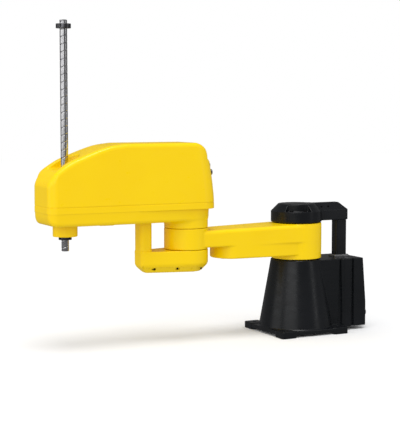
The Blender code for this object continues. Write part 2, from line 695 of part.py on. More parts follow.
def outer_arm_drives(parent, looks):
    """Motors, brackets and belts under the cover."""
    body = rectangle(-J2_MOTOR_HALF, J2_MOTOR_HALF, J2_MOTOR_HALF, 0.008)
    j2_motor = piece("j2_motor", prism(body, FLOOR_TOP, J2_MOTOR_TOP), parent, looks["motor"])
    fuse(j2_motor, disc(0.024, 0.380, FLOOR_TOP + 0.01, 24))
    outline = rectangle(MOTOR_X - 0.034, MOTOR_X + 0.034, 0.074, 0.004)
    slab = prism(outline, MOTOR_PLATE_BOTTOM, MOTOR_PLATE_TOP)
    plate = piece("motor_bracket", slab, parent, looks["aluminium"])
    for x in (MOTOR_X - MOTOR_HALF, MOTOR_X + MOTOR_HALF):
        for y in (-0.068, 0.068):
            fuse(plate, disc(0.0035, FLOOR_TOP, MOTOR_PLATE_BOTTOM + 0.0015, 8, (x, y)))
    for y in (-MOTOR_Y, MOTOR_Y):
        cut(plate, disc(0.009, MOTOR_PLATE_BOTTOM - 0.01, MOTOR_PLATE_TOP + 0.01, 12, (MOTOR_X, y)))
    for name, y in (("j3_motor", MOTOR_Y), ("j4_motor", -MOTOR_Y)):
        body = rectangle(MOTOR_X - MOTOR_HALF, MOTOR_X + MOTOR_HALF, MOTOR_HALF, 0.005, y)
        piece(name, prism(body, MOTOR_PLATE_TOP + GAP, MOTOR_TOP), parent, looks["motor"])
    spindle_bracket(parent, looks["aluminium"])
    spindle_place = (OUTER_REACH, 0)
    bearing = ring(BEARING_RADIUS, 0.0250, SPINDLE_PLATE_BOTTOM, SPINDLE_PLATE_TOP + 0.002, 24, spindle_place)
    piece("ball_nut_bearing", bearing, parent, looks["steel"])
    for name, y, height in (("j3_belt", MOTOR_Y, J3_PULLEY_Z), ("j4_belt", -MOTOR_Y, J4_PULLEY_Z)):
        gap = 0.0005
        outlines = [around_two((MOTOR_X, y), MOTOR_PULLEY_RADIUS + grown,
                               spindle_place, NUT_PULLEY_RADIUS + grown) for grown in (gap + BELT, gap)]
        piece(name, band(*outlines, height + 0.0030, height + PULLEY_HEIGHT - 0.0030), parent, looks["belt"])


def spindle_bracket(parent, surface):
    """A bridge over the pulleys, which holds the ball nut's bearing."""
    half = 0.062
    thick = 0.007
    x0 = OUTER_REACH - 0.045
    x1 = OUTER_REACH + 0.045
    plate = prism(rectangle(x0, x1, half, 0.002), SPINDLE_PLATE_BOTTOM, SPINDLE_PLATE_TOP)
    bracket = piece("spindle_bracket", plate, parent, surface)
    for sign in (-1, 1):
        wall = rectangle(x0 + 0.001, x1 - 0.001, thick / 2, 0.001, sign * (half - thick / 2 - 0.0004))
        fuse(bracket, prism(wall, FLOOR_TOP, SPINDLE_PLATE_BOTTOM + 0.002))
    return cut(bracket, disc(BEARING_RADIUS + 0.0005, 0.48, 0.52, 24, (OUTER_REACH, 0)))


def under_arm(parent, looks):
    outline = rectangle(0.285, 0.337, 0.034, 0.006)
    piece("underside_pad", prism(outline, UNDERSIDE - 0.0055, UNDERSIDE - GAP), parent, looks["yellow_paint"])
    high = UNDERSIDE - GAP
    profile = [(0.0375, 0.393), (0.0395, 0.396), (0.0395, high), (0.0300, high), (0.0300, 0.393)]
    piece("spindle_bearing_housing", turned(profile, 28, (OUTER_REACH, 0)), parent, looks["yellow_paint"])


# Vertical axis

def pulley_profile(radius, bore, low):
    high, flange, rim = low + PULLEY_HEIGHT, radius + 0.0035, 0.0015
    return [(flange, low), (flange, low + rim), (radius, low + rim), (radius, high - rim),
            (flange, high - rim), (flange, high), (bore, high), (bore, low)]


def motor_pulley(name, height, y, parent, looks):
    profile = pulley_profile(MOTOR_PULLEY_RADIUS, 0, height)[:-2]
    top = height + PULLEY_HEIGHT
    profile += [(0.005, top), (0.005, 0.4984), (0, 0.4984), (0, height)]
    piece(name, turned(profile, 16, (0, 0)), parent, looks["aluminium"])


def spindle(parent, looks):
    """What turns with the shaft's splines."""
    nut = [(SPLINE_NUT_RADIUS, SPLINE_NUT_BOTTOM), (SPLINE_NUT_RADIUS, J4_PULLEY_Z - GAP),
           (NUT_BORE, J4_PULLEY_Z - GAP), (NUT_BORE, SPLINE_NUT_BOTTOM)]
    piece("spline_nut", turned(nut, 24), parent, looks["steel"])
    high = SPLINE_NUT_BOTTOM - GAP
    lock = [(0.0195, 0.379), (0.021, 0.3805), (0.021, high), (NUT_BORE, high), (NUT_BORE, 0.379)]
    piece("spindle_lock_ring", turned(lock, 24), parent, looks["dark_steel"])
    profile = pulley_profile(NUT_PULLEY_RADIUS, NUT_BORE, J4_PULLEY_Z)
    piece("spline_pulley", turned(profile, 24), parent, looks["aluminium"])


def ball_nut(parent, looks):
    profile = pulley_profile(NUT_PULLEY_RADIUS, NUT_BORE, J3_PULLEY_Z)
    piece("ball_nut_pulley", turned(profile, 24), parent, looks["aluminium"])
    low = J3_PULLEY_Z + PULLEY_HEIGHT + GAP
    nut = ring(BALL_NUT_RADIUS, NUT_BORE, low, BALL_NUT_TOP, 24)
    piece("ball_nut", nut, parent, looks["steel"])


def shaft(parent, looks):
    """The hollow shaft, with a split stop collar clamped near its top."""
    profile = [(SHAFT_RADIUS - SHAFT_CHAMFER, SHAFT_LOW), (SHAFT_RADIUS, SHAFT_LOW + SHAFT_CHAMFER),
               (SHAFT_RADIUS, SHAFT_TOP - SHAFT_CHAMFER), (SHAFT_RADIUS - SHAFT_CHAMFER, SHAFT_TOP),
               (SHAFT_BORE, SHAFT_TOP), (SHAFT_BORE, SHAFT_LOW)]
    piece("ball_screw_shaft", turned(profile, 24), parent, looks["shaft_steel"])
    clamp_place = (CLAMP_X, 0, (COLLAR_LOW + COLLAR_HIGH) / 2)
    across = (0, 1, 0)
    body = ring(COLLAR_RADIUS, SHAFT_RADIUS + GAP, COLLAR_LOW, COLLAR_HIGH, 24)
    collar = piece("shaft_stop_collar", body, parent, looks["dark_steel"])
    cut(collar,
        prism(rectangle(0.005, COLLAR_RADIUS + 0.005, 0.001), COLLAR_LOW - 0.01, COLLAR_HIGH + 0.01),
        aimed(disc(0.0030, -0.030, 0.030, 12), clamp_place, across),
        aimed(disc(0.0050, 0.009, 0.030, 16), clamp_place, across))
    screw = piece("collar_clamp_screw", aimed(disc(0.0026, -0.012, 0.0095, 12), clamp_place, across),
                  parent, looks["steel"])
    fuse(screw, aimed(disc(0.0045, 0.0093, 0.0140, 16), clamp_place, across))
    cut(screw, aimed(disc(0.0024, 0.0115, 0.0200, 6), clamp_place, across))


def main():
    for obj in list(bpy.data.objects):
        bpy.data.objects.remove(obj)
    looks = {
        "yellow_paint": material("yellow_paint", (0.90, 0.58, 0.005), 0.28),
        "yellow_cover": material("yellow_cover", (0.92, 0.61, 0.005), 0.30),
        "black_paint": material("black_paint", (0.012, 0.013, 0.015), 0.42),
        "black_plastic": material("black_plastic", (0.015, 0.015, 0.016), 0.50),
        "steel": material("steel", (0.55, 0.55, 0.56), 0.30, 1.0),
        "shaft_steel": material("shaft_steel", (0.62, 0.62, 0.63), 0.18, 1.0),
        "dark_steel": material("dark_steel", (0.06, 0.06, 0.065), 0.35, 0.8),
        "aluminium": material("aluminium", (0.60, 0.61, 0.62), 0.35, 1.0),
        "motor": material("motor", (0.05, 0.05, 0.055), 0.50),
        "rubber": material("rubber", (0.02, 0.02, 0.02), 0.80),
        "belt": material("belt", (0.03, 0.03, 0.03), 0.75),
        "cable": material("cable", (0.04, 0.04, 0.045), 0.60),
        "connector": material("connector", (0.30, 0.30, 0.31), 0.40, 0.9),
        "brass": material("brass", (0.75, 0.55, 0.25), 0.30, 1.0),
        "button": material("button", (0.75, 0.75, 0.72), 0.40),
    }
    base = frame("base_frame", 0)
    inner = frame("inner_arm_frame", 0)
    elbow = frame("outer_arm_frame", INNER_REACH)
    wrist = frame("shaft_frame", INNER_REACH + OUTER_REACH)
    base_casting(base, looks["black_paint"])
    rear_connections(base, looks)
    base_drive(base, looks)
    cap_duct(base, looks)
    inner_arm_casting(inner, looks["yellow_paint"])
    inner_arm_fittings(inner, looks)
    outer_arm_casting(elbow, looks["yellow_paint"])
    outer_arm_cover(elbow, looks["yellow_cover"])
    rear_panel(elbow, looks)
    lower_duct(elbow, looks)
    outer_arm_drives(elbow, looks)
    under_arm(elbow, looks)
    pulleys = (("j3_motor_pulley", J3_PULLEY_Z, MOTOR_Y), ("j4_motor_pulley", J4_PULLEY_Z, -MOTOR_Y))
    for name, height, y in pulleys:
        axle = frame(f"{name}_frame", INNER_REACH + MOTOR_X)
        axle.location.y = y
        motor_pulley(name, height, y, axle, looks)
    spindle(wrist, looks)
    ball_nut(wrist, looks)
    shaft(wrist, looks)


main()
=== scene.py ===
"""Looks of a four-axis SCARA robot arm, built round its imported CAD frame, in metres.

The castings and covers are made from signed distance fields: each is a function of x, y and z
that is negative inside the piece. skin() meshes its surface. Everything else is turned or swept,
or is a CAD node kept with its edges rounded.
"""

import json
import math

import bmesh
import bpy
import numpy as np
from mathutils import Matrix, Vector


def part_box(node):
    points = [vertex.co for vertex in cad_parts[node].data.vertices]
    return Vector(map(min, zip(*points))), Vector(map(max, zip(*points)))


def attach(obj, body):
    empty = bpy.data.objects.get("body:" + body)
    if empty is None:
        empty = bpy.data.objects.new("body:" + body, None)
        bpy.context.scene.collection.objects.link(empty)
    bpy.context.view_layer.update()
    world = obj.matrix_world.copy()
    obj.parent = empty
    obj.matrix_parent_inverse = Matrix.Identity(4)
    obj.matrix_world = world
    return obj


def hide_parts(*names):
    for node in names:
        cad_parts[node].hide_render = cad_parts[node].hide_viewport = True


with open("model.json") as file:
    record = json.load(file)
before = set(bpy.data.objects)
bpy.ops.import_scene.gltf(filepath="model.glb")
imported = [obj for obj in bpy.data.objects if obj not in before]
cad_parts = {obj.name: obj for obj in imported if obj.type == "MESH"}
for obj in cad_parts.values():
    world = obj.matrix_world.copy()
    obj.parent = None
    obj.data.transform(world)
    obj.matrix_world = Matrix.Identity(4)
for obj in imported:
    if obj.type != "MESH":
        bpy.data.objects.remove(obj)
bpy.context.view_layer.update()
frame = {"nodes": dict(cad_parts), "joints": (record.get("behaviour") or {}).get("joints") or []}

# The joints' places, from the frame
ELBOW = next(j for j in frame["joints"] if j["name"] == "j2_rotation")["pos_m"][0]
WRIST = next(j for j in frame["joints"] if j["name"] == "j4_rotation")["pos_m"][0]

# Grid steps of skin(): the usual one, and the one near heights where an edge needs it
GRID = 0.003
FINE = 0.0011
SETTLING_STEPS = 5


# Distance fields

def rounded_and(a, b, radius):
    """What is inside both fields, with its edge rounded."""
    corner = np.hypot(np.maximum(a + radius, 0), np.maximum(b + radius, 0))
    return np.minimum(-radius, np.maximum(a, b)) + corner


def rounded_or(a, b, radius):
    """What is inside either field, with the corner between them filleted."""
    corner = np.hypot(np.maximum(radius - a, 0), np.maximum(radius - b, 0))
    return np.maximum(radius, np.minimum(a, b)) - corner


def cut(a, b, radius):
    return rounded_and(a, -b, radius)


def cylinder(u, v, centre, radius):
    return np.hypot(u - centre[0], v - centre[1]) - radius


def box2(u, v, low, high, radius):
    """A rectangle with rounded corners."""
    du = np.abs(u - (low[0] + high[0]) / 2) - (high[0] - low[0]) / 2 + radius
    dv = np.abs(v - (low[1] + high[1]) / 2) - (high[1] - low[1]) / 2 + radius
    return np.hypot(np.maximum(du, 0), np.maximum(dv, 0)) + np.minimum(np.maximum(du, dv), 0) - radius


def slab(w, low, high):
    return np.abs(w - (low + high) / 2) - (high - low) / 2


def polygon(u, v, points):
    """The distance to a polygon's outline, negative inside."""
    nearest = None
    inside = None
    for (u0, v0), (u1, v1) in zip(points, points[1:] + points[:1]):
        eu, ev = u1 - u0, v1 - v0
        wu, wv = u - u0, v - v0
        along = np.clip((wu * eu + wv * ev) / (eu * eu + ev * ev), 0, 1)
        gap = (wu - eu * along) ** 2 + (wv - ev * along) ** 2
        crossed = ((v0 <= v) != (v1 <= v)) & ((wv * eu > wu * ev) == (ev > 0))
        nearest = gap if nearest is None else np.minimum(nearest, gap)
        inside = crossed if inside is None else inside ^ crossed
    return np.sqrt(nearest) * np.where(inside, -1, 1)


def capsule(u, v, first, first_radius, second, second_radius):
    """Two circles on the u axis and the web round both."""
    length = second - first
    lean = (first_radius - second_radius) / length
    rise = math.sqrt(1 - lean * lean)
    pu, pv = u - first, np.abs(v)
    along = pu * rise - pv * lean
    start, stop = np.hypot(pu, pv) - first_radius, np.hypot(pu - length, pv) - second_radius
    side = pv * rise + pu * lean - first_radius
    return np.where(along < 0, start, np.where(along > length * rise, stop, side))


def spline(points, steps=6):
    """A smooth open line through points."""
    ends = [2 * np.array(points[0]) - np.array(points[1])] + [np.array(p) for p in points]
    ends.append(2 * ends[-1] - ends[-2])
    line = []
    for a, b, c, d in zip(ends, ends[1:], ends[2:], ends[3:]):
        for step in range(steps):
            t = step / steps
            square = (2 * a - 5 * b + 4 * c - d) * t ** 2
            cube = (3 * b - a - 3 * c + d) * t ** 3
            line.append(tuple((2 * b + (c - a) * t + square + cube) / 2))
    line.append(tuple(points[-1]))
    return line


def arc(centre, radius, start, stop, count):
    """Points on a circle from one angle to another, in degrees."""
    angles = [math.radians(start + (stop - start) * step / count) for step in range(count + 1)]
    return [(centre[0] + radius * math.cos(a), centre[1] + radius * math.sin(a)) for a in angles]


# Meshes

def ticks(low, high, step, fine=(), reach=0.006):
    """Grid places along an axis, closer together near the heights in fine."""
    places = [low]
    while places[-1] < high:
        near = any(abs(places[-1] + step / 2 - place) < reach for place in fine)
        places.append(places[-1] + (FINE if near else step))
    return np.array(places)


def gradient(field, points, reach=0.0002):
    """The slope of a field at each point."""
    rows = []
    for axis in range(3):
        offset = np.zeros(3)
        offset[axis] = reach
        rows.append(field(*(points + offset).T) - field(*(points - offset).T))
    return np.stack(rows, 1) / (2 * reach)


def cell_points(values, axes):
    """A point in each grid cell that the surface crosses, and the cells' index into the points."""
    shape = values.shape
    cells = tuple(n - 1 for n in shape)
    sums = np.zeros(cells + (3,), np.float32)
    hits = np.zeros(cells, np.float32)
    places = [np.broadcast_to(p, shape) for p in axes]

    def corner(array, place):
        return array[tuple(slice(p, p + n) for p, n in zip(place, cells))]

    for axis in range(3):
        for side in range(4):
            start = [side & 1, side >> 1]
            start.insert(axis, 0)
            stop = list(start)
            stop[axis] = 1
            a, b = corner(values, start), corner(values, stop)
            crossing = (a < 0) != (b < 0)
            share = np.where(crossing, a / np.where(crossing, a - b, 1), 0)
            hits += crossing
            for k in range(3):
                from_, to = corner(places[k], start), corner(places[k], stop)
                sums[..., k] += np.where(crossing, from_ + (to - from_) * share, 0)
    mixed = hits > 0
    index = np.full(cells, -1, np.int64)
    index[mixed] = np.arange(mixed.sum())
    return (sums[mixed] / hits[mixed][:, None]).astype(np.float64), index


def cell_quads(inside, index):
    """A quad round each grid edge that the surface crosses, facing out."""
    faces = []
    for axis in range(3):
        u, v = (axis + 1) % 3, (axis + 2) % 3
        here = [slice(1, -1)] * 3
        here[axis] = slice(0, -1)
        there = list(here)
        there[axis] = slice(1, None)
        crossing = inside[tuple(here)] != inside[tuple(there)]
        place = np.argwhere(crossing) + [0 if k == axis else 1 for k in range(3)]
        ring = []
        for du, dv in ((-1, -1), (0, -1), (0, 0), (-1, 0)):
            moved = place.copy()
            moved[:, u] += du
            moved[:, v] += dv
            ring.append(index[tuple(moved.T)])
        quads = np.stack(ring, 1)
        outward = inside[tuple(place.T)]
        faces.append(np.where(outward[:, None], quads, quads[:, ::-1]))
    return np.concatenate(faces)


def settled(field, points, step):
    """The points moved along the field's slope to its surface, by a grid step at most."""
    start = points.copy()
    for _ in range(SETTLING_STEPS):
        slope = gradient(field, points)
        share = field(*points.T) / np.maximum((slope ** 2).sum(1), 0.04)
        points = np.clip(points - slope * share[:, None], start - step, start + step)
    return points


def skin(field, low, high, step=GRID, fine=((), (), ())):
    """The surface of a field as quads: (points, faces, normals)."""
    axes = [ticks(a, b, step, close) for a, b, close in zip(low, high, fine)]
    x, y, z = axes[0][:, None, None], axes[1][None, :, None], axes[2][None, None, :]
    shape = tuple(len(a) for a in axes)
    values = np.broadcast_to(field(x, y, z), shape).astype(np.float32)
    points, index = cell_points(values, (x, y, z))
    faces = cell_quads(values < 0, index)
    points = settled(field, points, step)
    slope = gradient(field, points)
    normals = slope / np.maximum(np.linalg.norm(slope, axis=1), 1e-9)[:, None]
    return points, faces, normals


def shown(name, mesh, body, slot, surface, *nodes):
    """A new piece that rides on a body, and stands for the named CAD nodes."""
    mesh.materials.append(surface)
    obj = bpy.data.objects.new(name, mesh)
    bpy.context.scene.collection.objects.link(obj)
    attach(obj, body)
    if nodes:
        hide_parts(*nodes)
    return obj


def from_field(name, field, low, high, body, slot, surface, *nodes,
               step=GRID, fine=((), (), ()), place=Matrix.Identity(4)):
    """A new piece from a field, with the field's own slope as its normals."""
    points, faces, normals = skin(field, low, high, step, fine)
    turn = np.array(place.to_3x3())
    points = points @ turn.T + np.array(place.translation)
    mesh = bpy.data.meshes.new(name)
    mesh.from_pydata(points.tolist(), [], faces.tolist())
    mesh.shade_smooth()
    mesh.normals_split_custom_set_from_vertices((normals @ turn.T).tolist())
    return shown(name, mesh, body, slot, surface, *nodes)


def standing(place, direction):
    """Turns +Z to a direction and moves the origin to a place."""
    turn = Vector((0, 0, 1)).rotation_difference(Vector(direction)).to_matrix().to_4x4()
    return Matrix.Translation(place) @ turn


def grid_mesh(name, rings):
    """A closed skin through rings of points, the last joined to the first."""
    count = len(rings[0])
    points = [tuple(point) for ring in rings for point in ring]
    faces = []
    for row in range(len(rings)):
        here, there = row * count, (row + 1) % len(rings) * count
        for index in range(count):
            after = (index + 1) % count
            faces.append((here + index, here + after, there + after, there + index))
    mesh = bpy.data.meshes.new(name)
    mesh.from_pydata(points, [], faces)
    mesh.shade_smooth()
    mesh.set_sharp_from_angle(angle=math.radians(34))
    return mesh


def lathe(name, profile, place, body, slot, surface, *nodes, count=48, flats=0):
    """A turned piece from a closed profile of (radius, height); flats makes it a nut of so many sides."""
    angles = np.arange(count) * 2 * math.pi / count
    reach = np.ones(count)
    if flats:
        side = 2 * math.pi / flats
        reach = np.minimum(1, 0.9 / np.cos(angles % side - side / 2))
    rings = []
    for radius, height in profile:
        row = [np.cos(angles) * reach * radius, np.sin(angles) * reach * radius, angles * 0 + height]
        rings.append(np.stack(row, 1))
    mesh = grid_mesh(name, rings)
    mesh.transform(place)
    return shown(name, mesh, body, slot, surface, *nodes)


def softened(node, surface, width):
    """A CAD node that stays shown, with its finish and with its edges rounded."""
    obj = frame["nodes"][node]
    obj.data.materials.clear()
    obj.data.materials.append(surface)
    weld = obj.modifiers.new("Weld", "WELD")
    weld.merge_threshold = 0.00001
    bevel = obj.modifiers.new("Edges", "BEVEL")
    bevel.width = width
    bevel.segments = 2
    bevel.limit_method = "ANGLE"
    bevel.angle_limit = math.radians(40)
    bevel.harden_normals = True


# Finishes

def finish_of(name):
    made = bpy.data.materials.new(name)
    made.use_nodes = True
    tree = made.node_tree
    shader = tree.nodes["Principled BSDF"]
    return made, tree, shader


def noise(tree, scale, detail=3.0, stretch=(1, 1, 1), roughness=0.55):
    where = tree.nodes.new("ShaderNodeTexCoord")
    mapping = tree.nodes.new("ShaderNodeMapping")
    mapping.inputs["Scale"].default_value = stretch
    tree.links.new(where.outputs["Object"], mapping.inputs["Vector"])
    made = tree.nodes.new("ShaderNodeTexNoise")
    made.inputs["Scale"].default_value = scale
    made.inputs["Detail"].default_value = detail
    made.inputs["Roughness"].default_value = roughness
    tree.links.new(mapping.outputs["Vector"], made.inputs["Vector"])
    return made.outputs["Fac"]


def ramp(tree, value, low, high, low_out, high_out):
    """value from low..high to low_out..high_out, held at the ends."""
    made = tree.nodes.new("ShaderNodeMapRange")
    for socket, number in (("From Min", low), ("From Max", high), ("To Min", low_out), ("To Max", high_out)):
        made.inputs[socket].default_value = number
    tree.links.new(value, made.inputs["Value"])
    return made.outputs["Result"]


def blend_colours(tree, share, first, second):
    made = tree.nodes.new("ShaderNodeMix")
    made.data_type = "RGBA"
    tree.links.new(share, made.inputs["Factor"])
    for socket, colour in ((made.inputs["A"], first), (made.inputs["B"], second)):
        if isinstance(colour, tuple):
            socket.default_value = (*colour, 1)
        else:
            tree.links.new(colour, socket)
    return made.outputs["Result"]


def bump(tree, shader, *layers):
    """Bump layers of (height socket, strength, distance)."""
    normal = None
    for height, strength, distance in layers:
        made = tree.nodes.new("ShaderNodeBump")
        made.inputs["Strength"].default_value = strength
        made.inputs["Distance"].default_value = distance
        tree.links.new(height, made.inputs["Height"])
        if normal:
            tree.links.new(normal, made.inputs["Normal"])
        normal = made.outputs["Normal"]
    tree.links.new(normal, shader.inputs["Normal"])


def edges(tree, low=0.57, high=0.68):
    """1 on sharp outer edges, 0 elsewhere."""
    geometry = tree.nodes.new("ShaderNodeNewGeometry")
    return ramp(tree, geometry.outputs["Pointiness"], low, high, 0, 1)


def times(tree, a, b):
    made = tree.nodes.new("ShaderNodeMath")
    made.operation = "MULTIPLY"
    tree.links.new(a, made.inputs[0])
    tree.links.new(b, made.inputs[1])
    return made.outputs[0]


def paint(name, colour, deep, worn, rough, peel, coat=0.0, specular=0.5):
    """Sprayed paint: slow drifts of tone, orange peel, faint scuffs and lighter edges."""
    made, tree, shader = finish_of(name)
    drift = ramp(tree, noise(tree, 5, 2), 0.35, 0.65, 0, 1)
    tone = blend_colours(tree, drift, colour, deep)
    speckle = ramp(tree, noise(tree, 900, 2), 0.60, 0.80, 0, 0.12)
    tone = blend_colours(tree, speckle, tone, deep)
    scuffs = times(tree, edges(tree), ramp(tree, noise(tree, 90, 5), 0.48, 0.66, 0, 0.35))
    tone = blend_colours(tree, scuffs, tone, worn)
    tree.links.new(tone, shader.inputs["Base Color"])
    smear = noise(tree, 22, 5, (1, 1, 2.5))
    tree.links.new(ramp(tree, smear, 0.3, 0.7, rough * 0.82, rough * 1.22), shader.inputs["Roughness"])
    shader.inputs["Specular IOR Level"].default_value = specular
    shader.inputs["Coat Weight"].default_value = coat
    shader.inputs["Coat Roughness"].default_value = 0.12
    bump(tree, shader, (noise(tree, 700, 1), peel, 0.0002), (noise(tree, 110, 1), peel * 0.5, 0.0002))
    return made


def metal(name, colour, deep, rough, stretch, scratch=0.12):
    """Machined metal: tool marks along one way, tarnish in patches, brighter edges."""
    made, tree, shader = finish_of(name)
    marks = noise(tree, 400, 4, stretch, 0.7)
    patches = ramp(tree, noise(tree, 30, 4), 0.4, 0.7, 0, 1)
    tone = blend_colours(tree, patches, colour, deep)
    bright = tuple(min(1.0, 1.25 * c) for c in colour)
    tone = blend_colours(tree, ramp(tree, edges(tree), 0, 1, 0, 0.5), tone, bright)
    tree.links.new(tone, shader.inputs["Base Color"])
    tree.links.new(ramp(tree, marks, 0.3, 0.7, rough * 0.7, rough * 1.4), shader.inputs["Roughness"])
    shader.inputs["Metallic"].default_value = 1.0
    bump(tree, shader, (marks, scratch, 0.0002), (noise(tree, 900, 2), scratch * 0.5, 0.0002))
    return made


def moulded(name, colour, deep, rough, grain, scale=700):
    """Moulded plastic or rubber: a fine texture, dust in patches and rubbed edges."""
    made, tree, shader = finish_of(name)
    drift = ramp(tree, noise(tree, 14, 4), 0.35, 0.7, 0, 1)
    tone = blend_colours(tree, drift, colour, deep)
    rubbed = tuple(min(1.0, 1.6 * c + 0.01) for c in colour)
    tone = blend_colours(tree, ramp(tree, edges(tree), 0, 1, 0, 0.4), tone, rubbed)
    tree.links.new(tone, shader.inputs["Base Color"])
    fine = noise(tree, scale, 3)
    tree.links.new(ramp(tree, fine, 0.3, 0.7, rough * 0.85, rough * 1.15), shader.inputs["Roughness"])
    bump(tree, shader, (fine, grain, 0.0003), (noise(tree, 120, 2), grain * 0.4, 0.0004))
    return made


YELLOW = (0.93, 0.635, 0.0)
YELLOW_DEEP = (0.915, 0.61, 0.0)
YELLOW_WORN = (0.95, 0.70, 0.06)
BLACK = (0.0050, 0.0060, 0.0075)
BLACK_DEEP = (0.0070, 0.0080, 0.0100)
BLACK_WORN = (0.04, 0.04, 0.045)
LOOKS = {
    "yellow_paint": paint("yellow_paint", YELLOW, YELLOW_DEEP, YELLOW_WORN, 0.34, 0.03, 0.05, 0.25),
    "yellow_cover": paint("yellow_cover", YELLOW, YELLOW_DEEP, YELLOW_WORN, 0.32, 0.02, 0.05, 0.25),
    "black_paint": paint("black_paint", BLACK, BLACK_DEEP, BLACK_WORN, 0.29, 0.03, specular=0.36),
    "black_plastic": moulded("black_plastic", (0.007, 0.007, 0.008), (0.010, 0.010, 0.011), 0.50, 0.22),
    "connector_shell": metal("connector_shell", (0.33, 0.33, 0.34), (0.24, 0.24, 0.25), 0.38, (1, 1, 1)),
    "brass": metal("brass", (0.80, 0.58, 0.24), (0.62, 0.43, 0.18), 0.28, (1, 1, 4)),
    "steel": metal("steel", (0.56, 0.56, 0.57), (0.44, 0.44, 0.45), 0.30, (1, 1, 5)),
    "shaft_steel": metal("shaft_steel", (0.66, 0.66, 0.67), (0.55, 0.55, 0.57), 0.20, (1, 1, 7), 0.08),
    "dark_steel": metal("dark_steel", (0.16, 0.16, 0.17), (0.10, 0.10, 0.11), 0.30, (1, 1, 4)),
    "black_oxide": metal("black_oxide", (0.035, 0.035, 0.038), (0.022, 0.022, 0.024), 0.36, (1, 1, 4)),
    "cable_jacket": moulded("cable_jacket", (0.020, 0.020, 0.022), (0.032, 0.032, 0.034), 0.55, 0.2, 400),
    "motor_housing": paint("motor_housing", (0.030, 0.030, 0.032), (0.040, 0.040, 0.043), (0.15, 0.15, 0.15),
                           0.5, 0.3),
    "belt_rubber": moulded("belt_rubber", (0.018, 0.018, 0.018), (0.028, 0.027, 0.026), 0.72, 0.35, 500),
    "bumper_rubber": moulded("bumper_rubber", (0.012, 0.012, 0.012), (0.020, 0.020, 0.020), 0.78, 0.35, 500),
    "aluminium": metal("aluminium", (0.66, 0.67, 0.68), (0.55, 0.56, 0.58), 0.34, (5, 1, 1)),
    "button_plastic": moulded("button_plastic", (0.70, 0.70, 0.67), (0.62, 0.62, 0.58), 0.40, 0.12),
}


# Base

CONE_SLOPE = 0.1739
CONE_TOP = 0.268
CONE_TOP_RADIUS = 0.0923
WALL = 0.012
HOUSING_HALF = 0.082
HOUSING_REAR = 0.2405
HOUSING_TOP = 0.266
HOUSING_DRAFT = 0.0813
DRAFT_HEIGHT = 0.166
# (place in x, how much the half width grows per metre downwards)
GROOVES = ((-0.1420, 0.030), (-0.1965, 0.008))
GROOVE_FLOOR = 0.0735
PLATE_HALF = 0.137
PLATE_LOW = 0.008
PLATE_TOP = 0.022
PAD_LOW = (0.080, 0.085)
PAD_HIGH = (0.138, 0.143)
PAD_TOP = 0.024
BOLT_PLACE = (0.109, 0.114)
BOLT_RADIUS = 0.0065


def cone_distance(x, y, z, inset=0.0):
    radius = CONE_TOP_RADIUS + (CONE_TOP - z) * CONE_SLOPE - inset
    return (np.hypot(x, y) - radius) / math.hypot(1, CONE_SLOPE)


def base_housing(x, y, z):
    """The housing behind the cone, with a rounded rib between two grooves down each side."""
    side = np.abs(y)
    rear = HOUSING_REAR + np.minimum(HOUSING_TOP - z, DRAFT_HEIGHT) * HOUSING_DRAFT
    block = rounded_and(side - HOUSING_HALF, -x - rear, 0.003)
    for groove, spread in GROOVES:
        half = 0.0028 + (HOUSING_TOP - z) * spread
        block = cut(block, np.maximum(np.abs(x - groove) - half, GROOVE_FLOOR - side), 0.003)
    rib = box2(x, side, (-0.1905, 0.0), (-0.1490, 0.0850), 0.011)
    block = np.minimum(block, rib)
    block = np.maximum(block, x + 0.020)
    return rounded_and(block, slab(z, 0.013, HOUSING_TOP), 0.0025)


def base_outside(x, y, z):
    """Cone, rear housing, plate and the four pads with their bolt holes."""
    cone = rounded_and(cone_distance(x, y, z), slab(z, PLATE_LOW, CONE_TOP), 0.003)
    body = rounded_or(cone, base_housing(x, y, z), 0.0025)
    plate = box2(x, y, (-PLATE_HALF, -PLATE_HALF), (PLATE_HALF, PLATE_HALF), 0.012)
    body = rounded_or(body, rounded_and(plate, slab(z, PLATE_LOW, PLATE_TOP), 0.003), 0.005)
    pad = box2(np.abs(x), np.abs(y), PAD_LOW, PAD_HIGH, 0.008)
    body = rounded_or(body, rounded_and(pad, slab(z, 0.0, PAD_TOP), 0.002), 0.003)
    return cut(body, cylinder(np.abs(x), np.abs(y), BOLT_PLACE, BOLT_RADIUS), 0.001)


def base_field(x, y, z):
    """The base casting, hollow, open at the top for the motor and behind for the cables."""
    body = base_outside(x, y, z)
    inside = rounded_and(cone_distance(x, y, z, WALL), z - 0.246, 0.006)
    rear_space = box2(x, y, (-0.230, -0.068), (-0.04, 0.068), 0.006)
    inside = np.minimum(inside, rounded_and(rear_space, z - 0.256, 0.004))
    body = cut(body, inside, 0.001)
    body = cut(body, np.maximum(cylinder(x, y, (0, 0), 0.062), 0.24 - z), 0.001)
    body = cut(body, np.maximum(column_bore(x, y), 0.24 - z), 0.001)
    window = box2(y, z, (-0.056, 0.030), (0.056, 0.080), 0.004)
    return cut(body, np.maximum(window, x + 0.200), 0.001)


def base_pieces():
    from_field("base_casting_skin", base_field, *around("base_casting", 0.010), "base", "black_paint",
               LOOKS["black_paint"], "base_casting", step=0.0028, fine=((), (), (0.0, 0.023, HOUSING_TOP)))


DOME_LOW = 0.407
DOME_TOP = 0.467
BRIDGE_LOW = 0.404
BRIDGE_SHOULDER = 0.443
BRIDGE_TOP = 0.4705
POCKET_FLOOR = 0.4442
# Where a pocket starts and stops, round the joint's axis
POCKET_START = math.radians(33)
POCKET_STOP = math.radians(97)


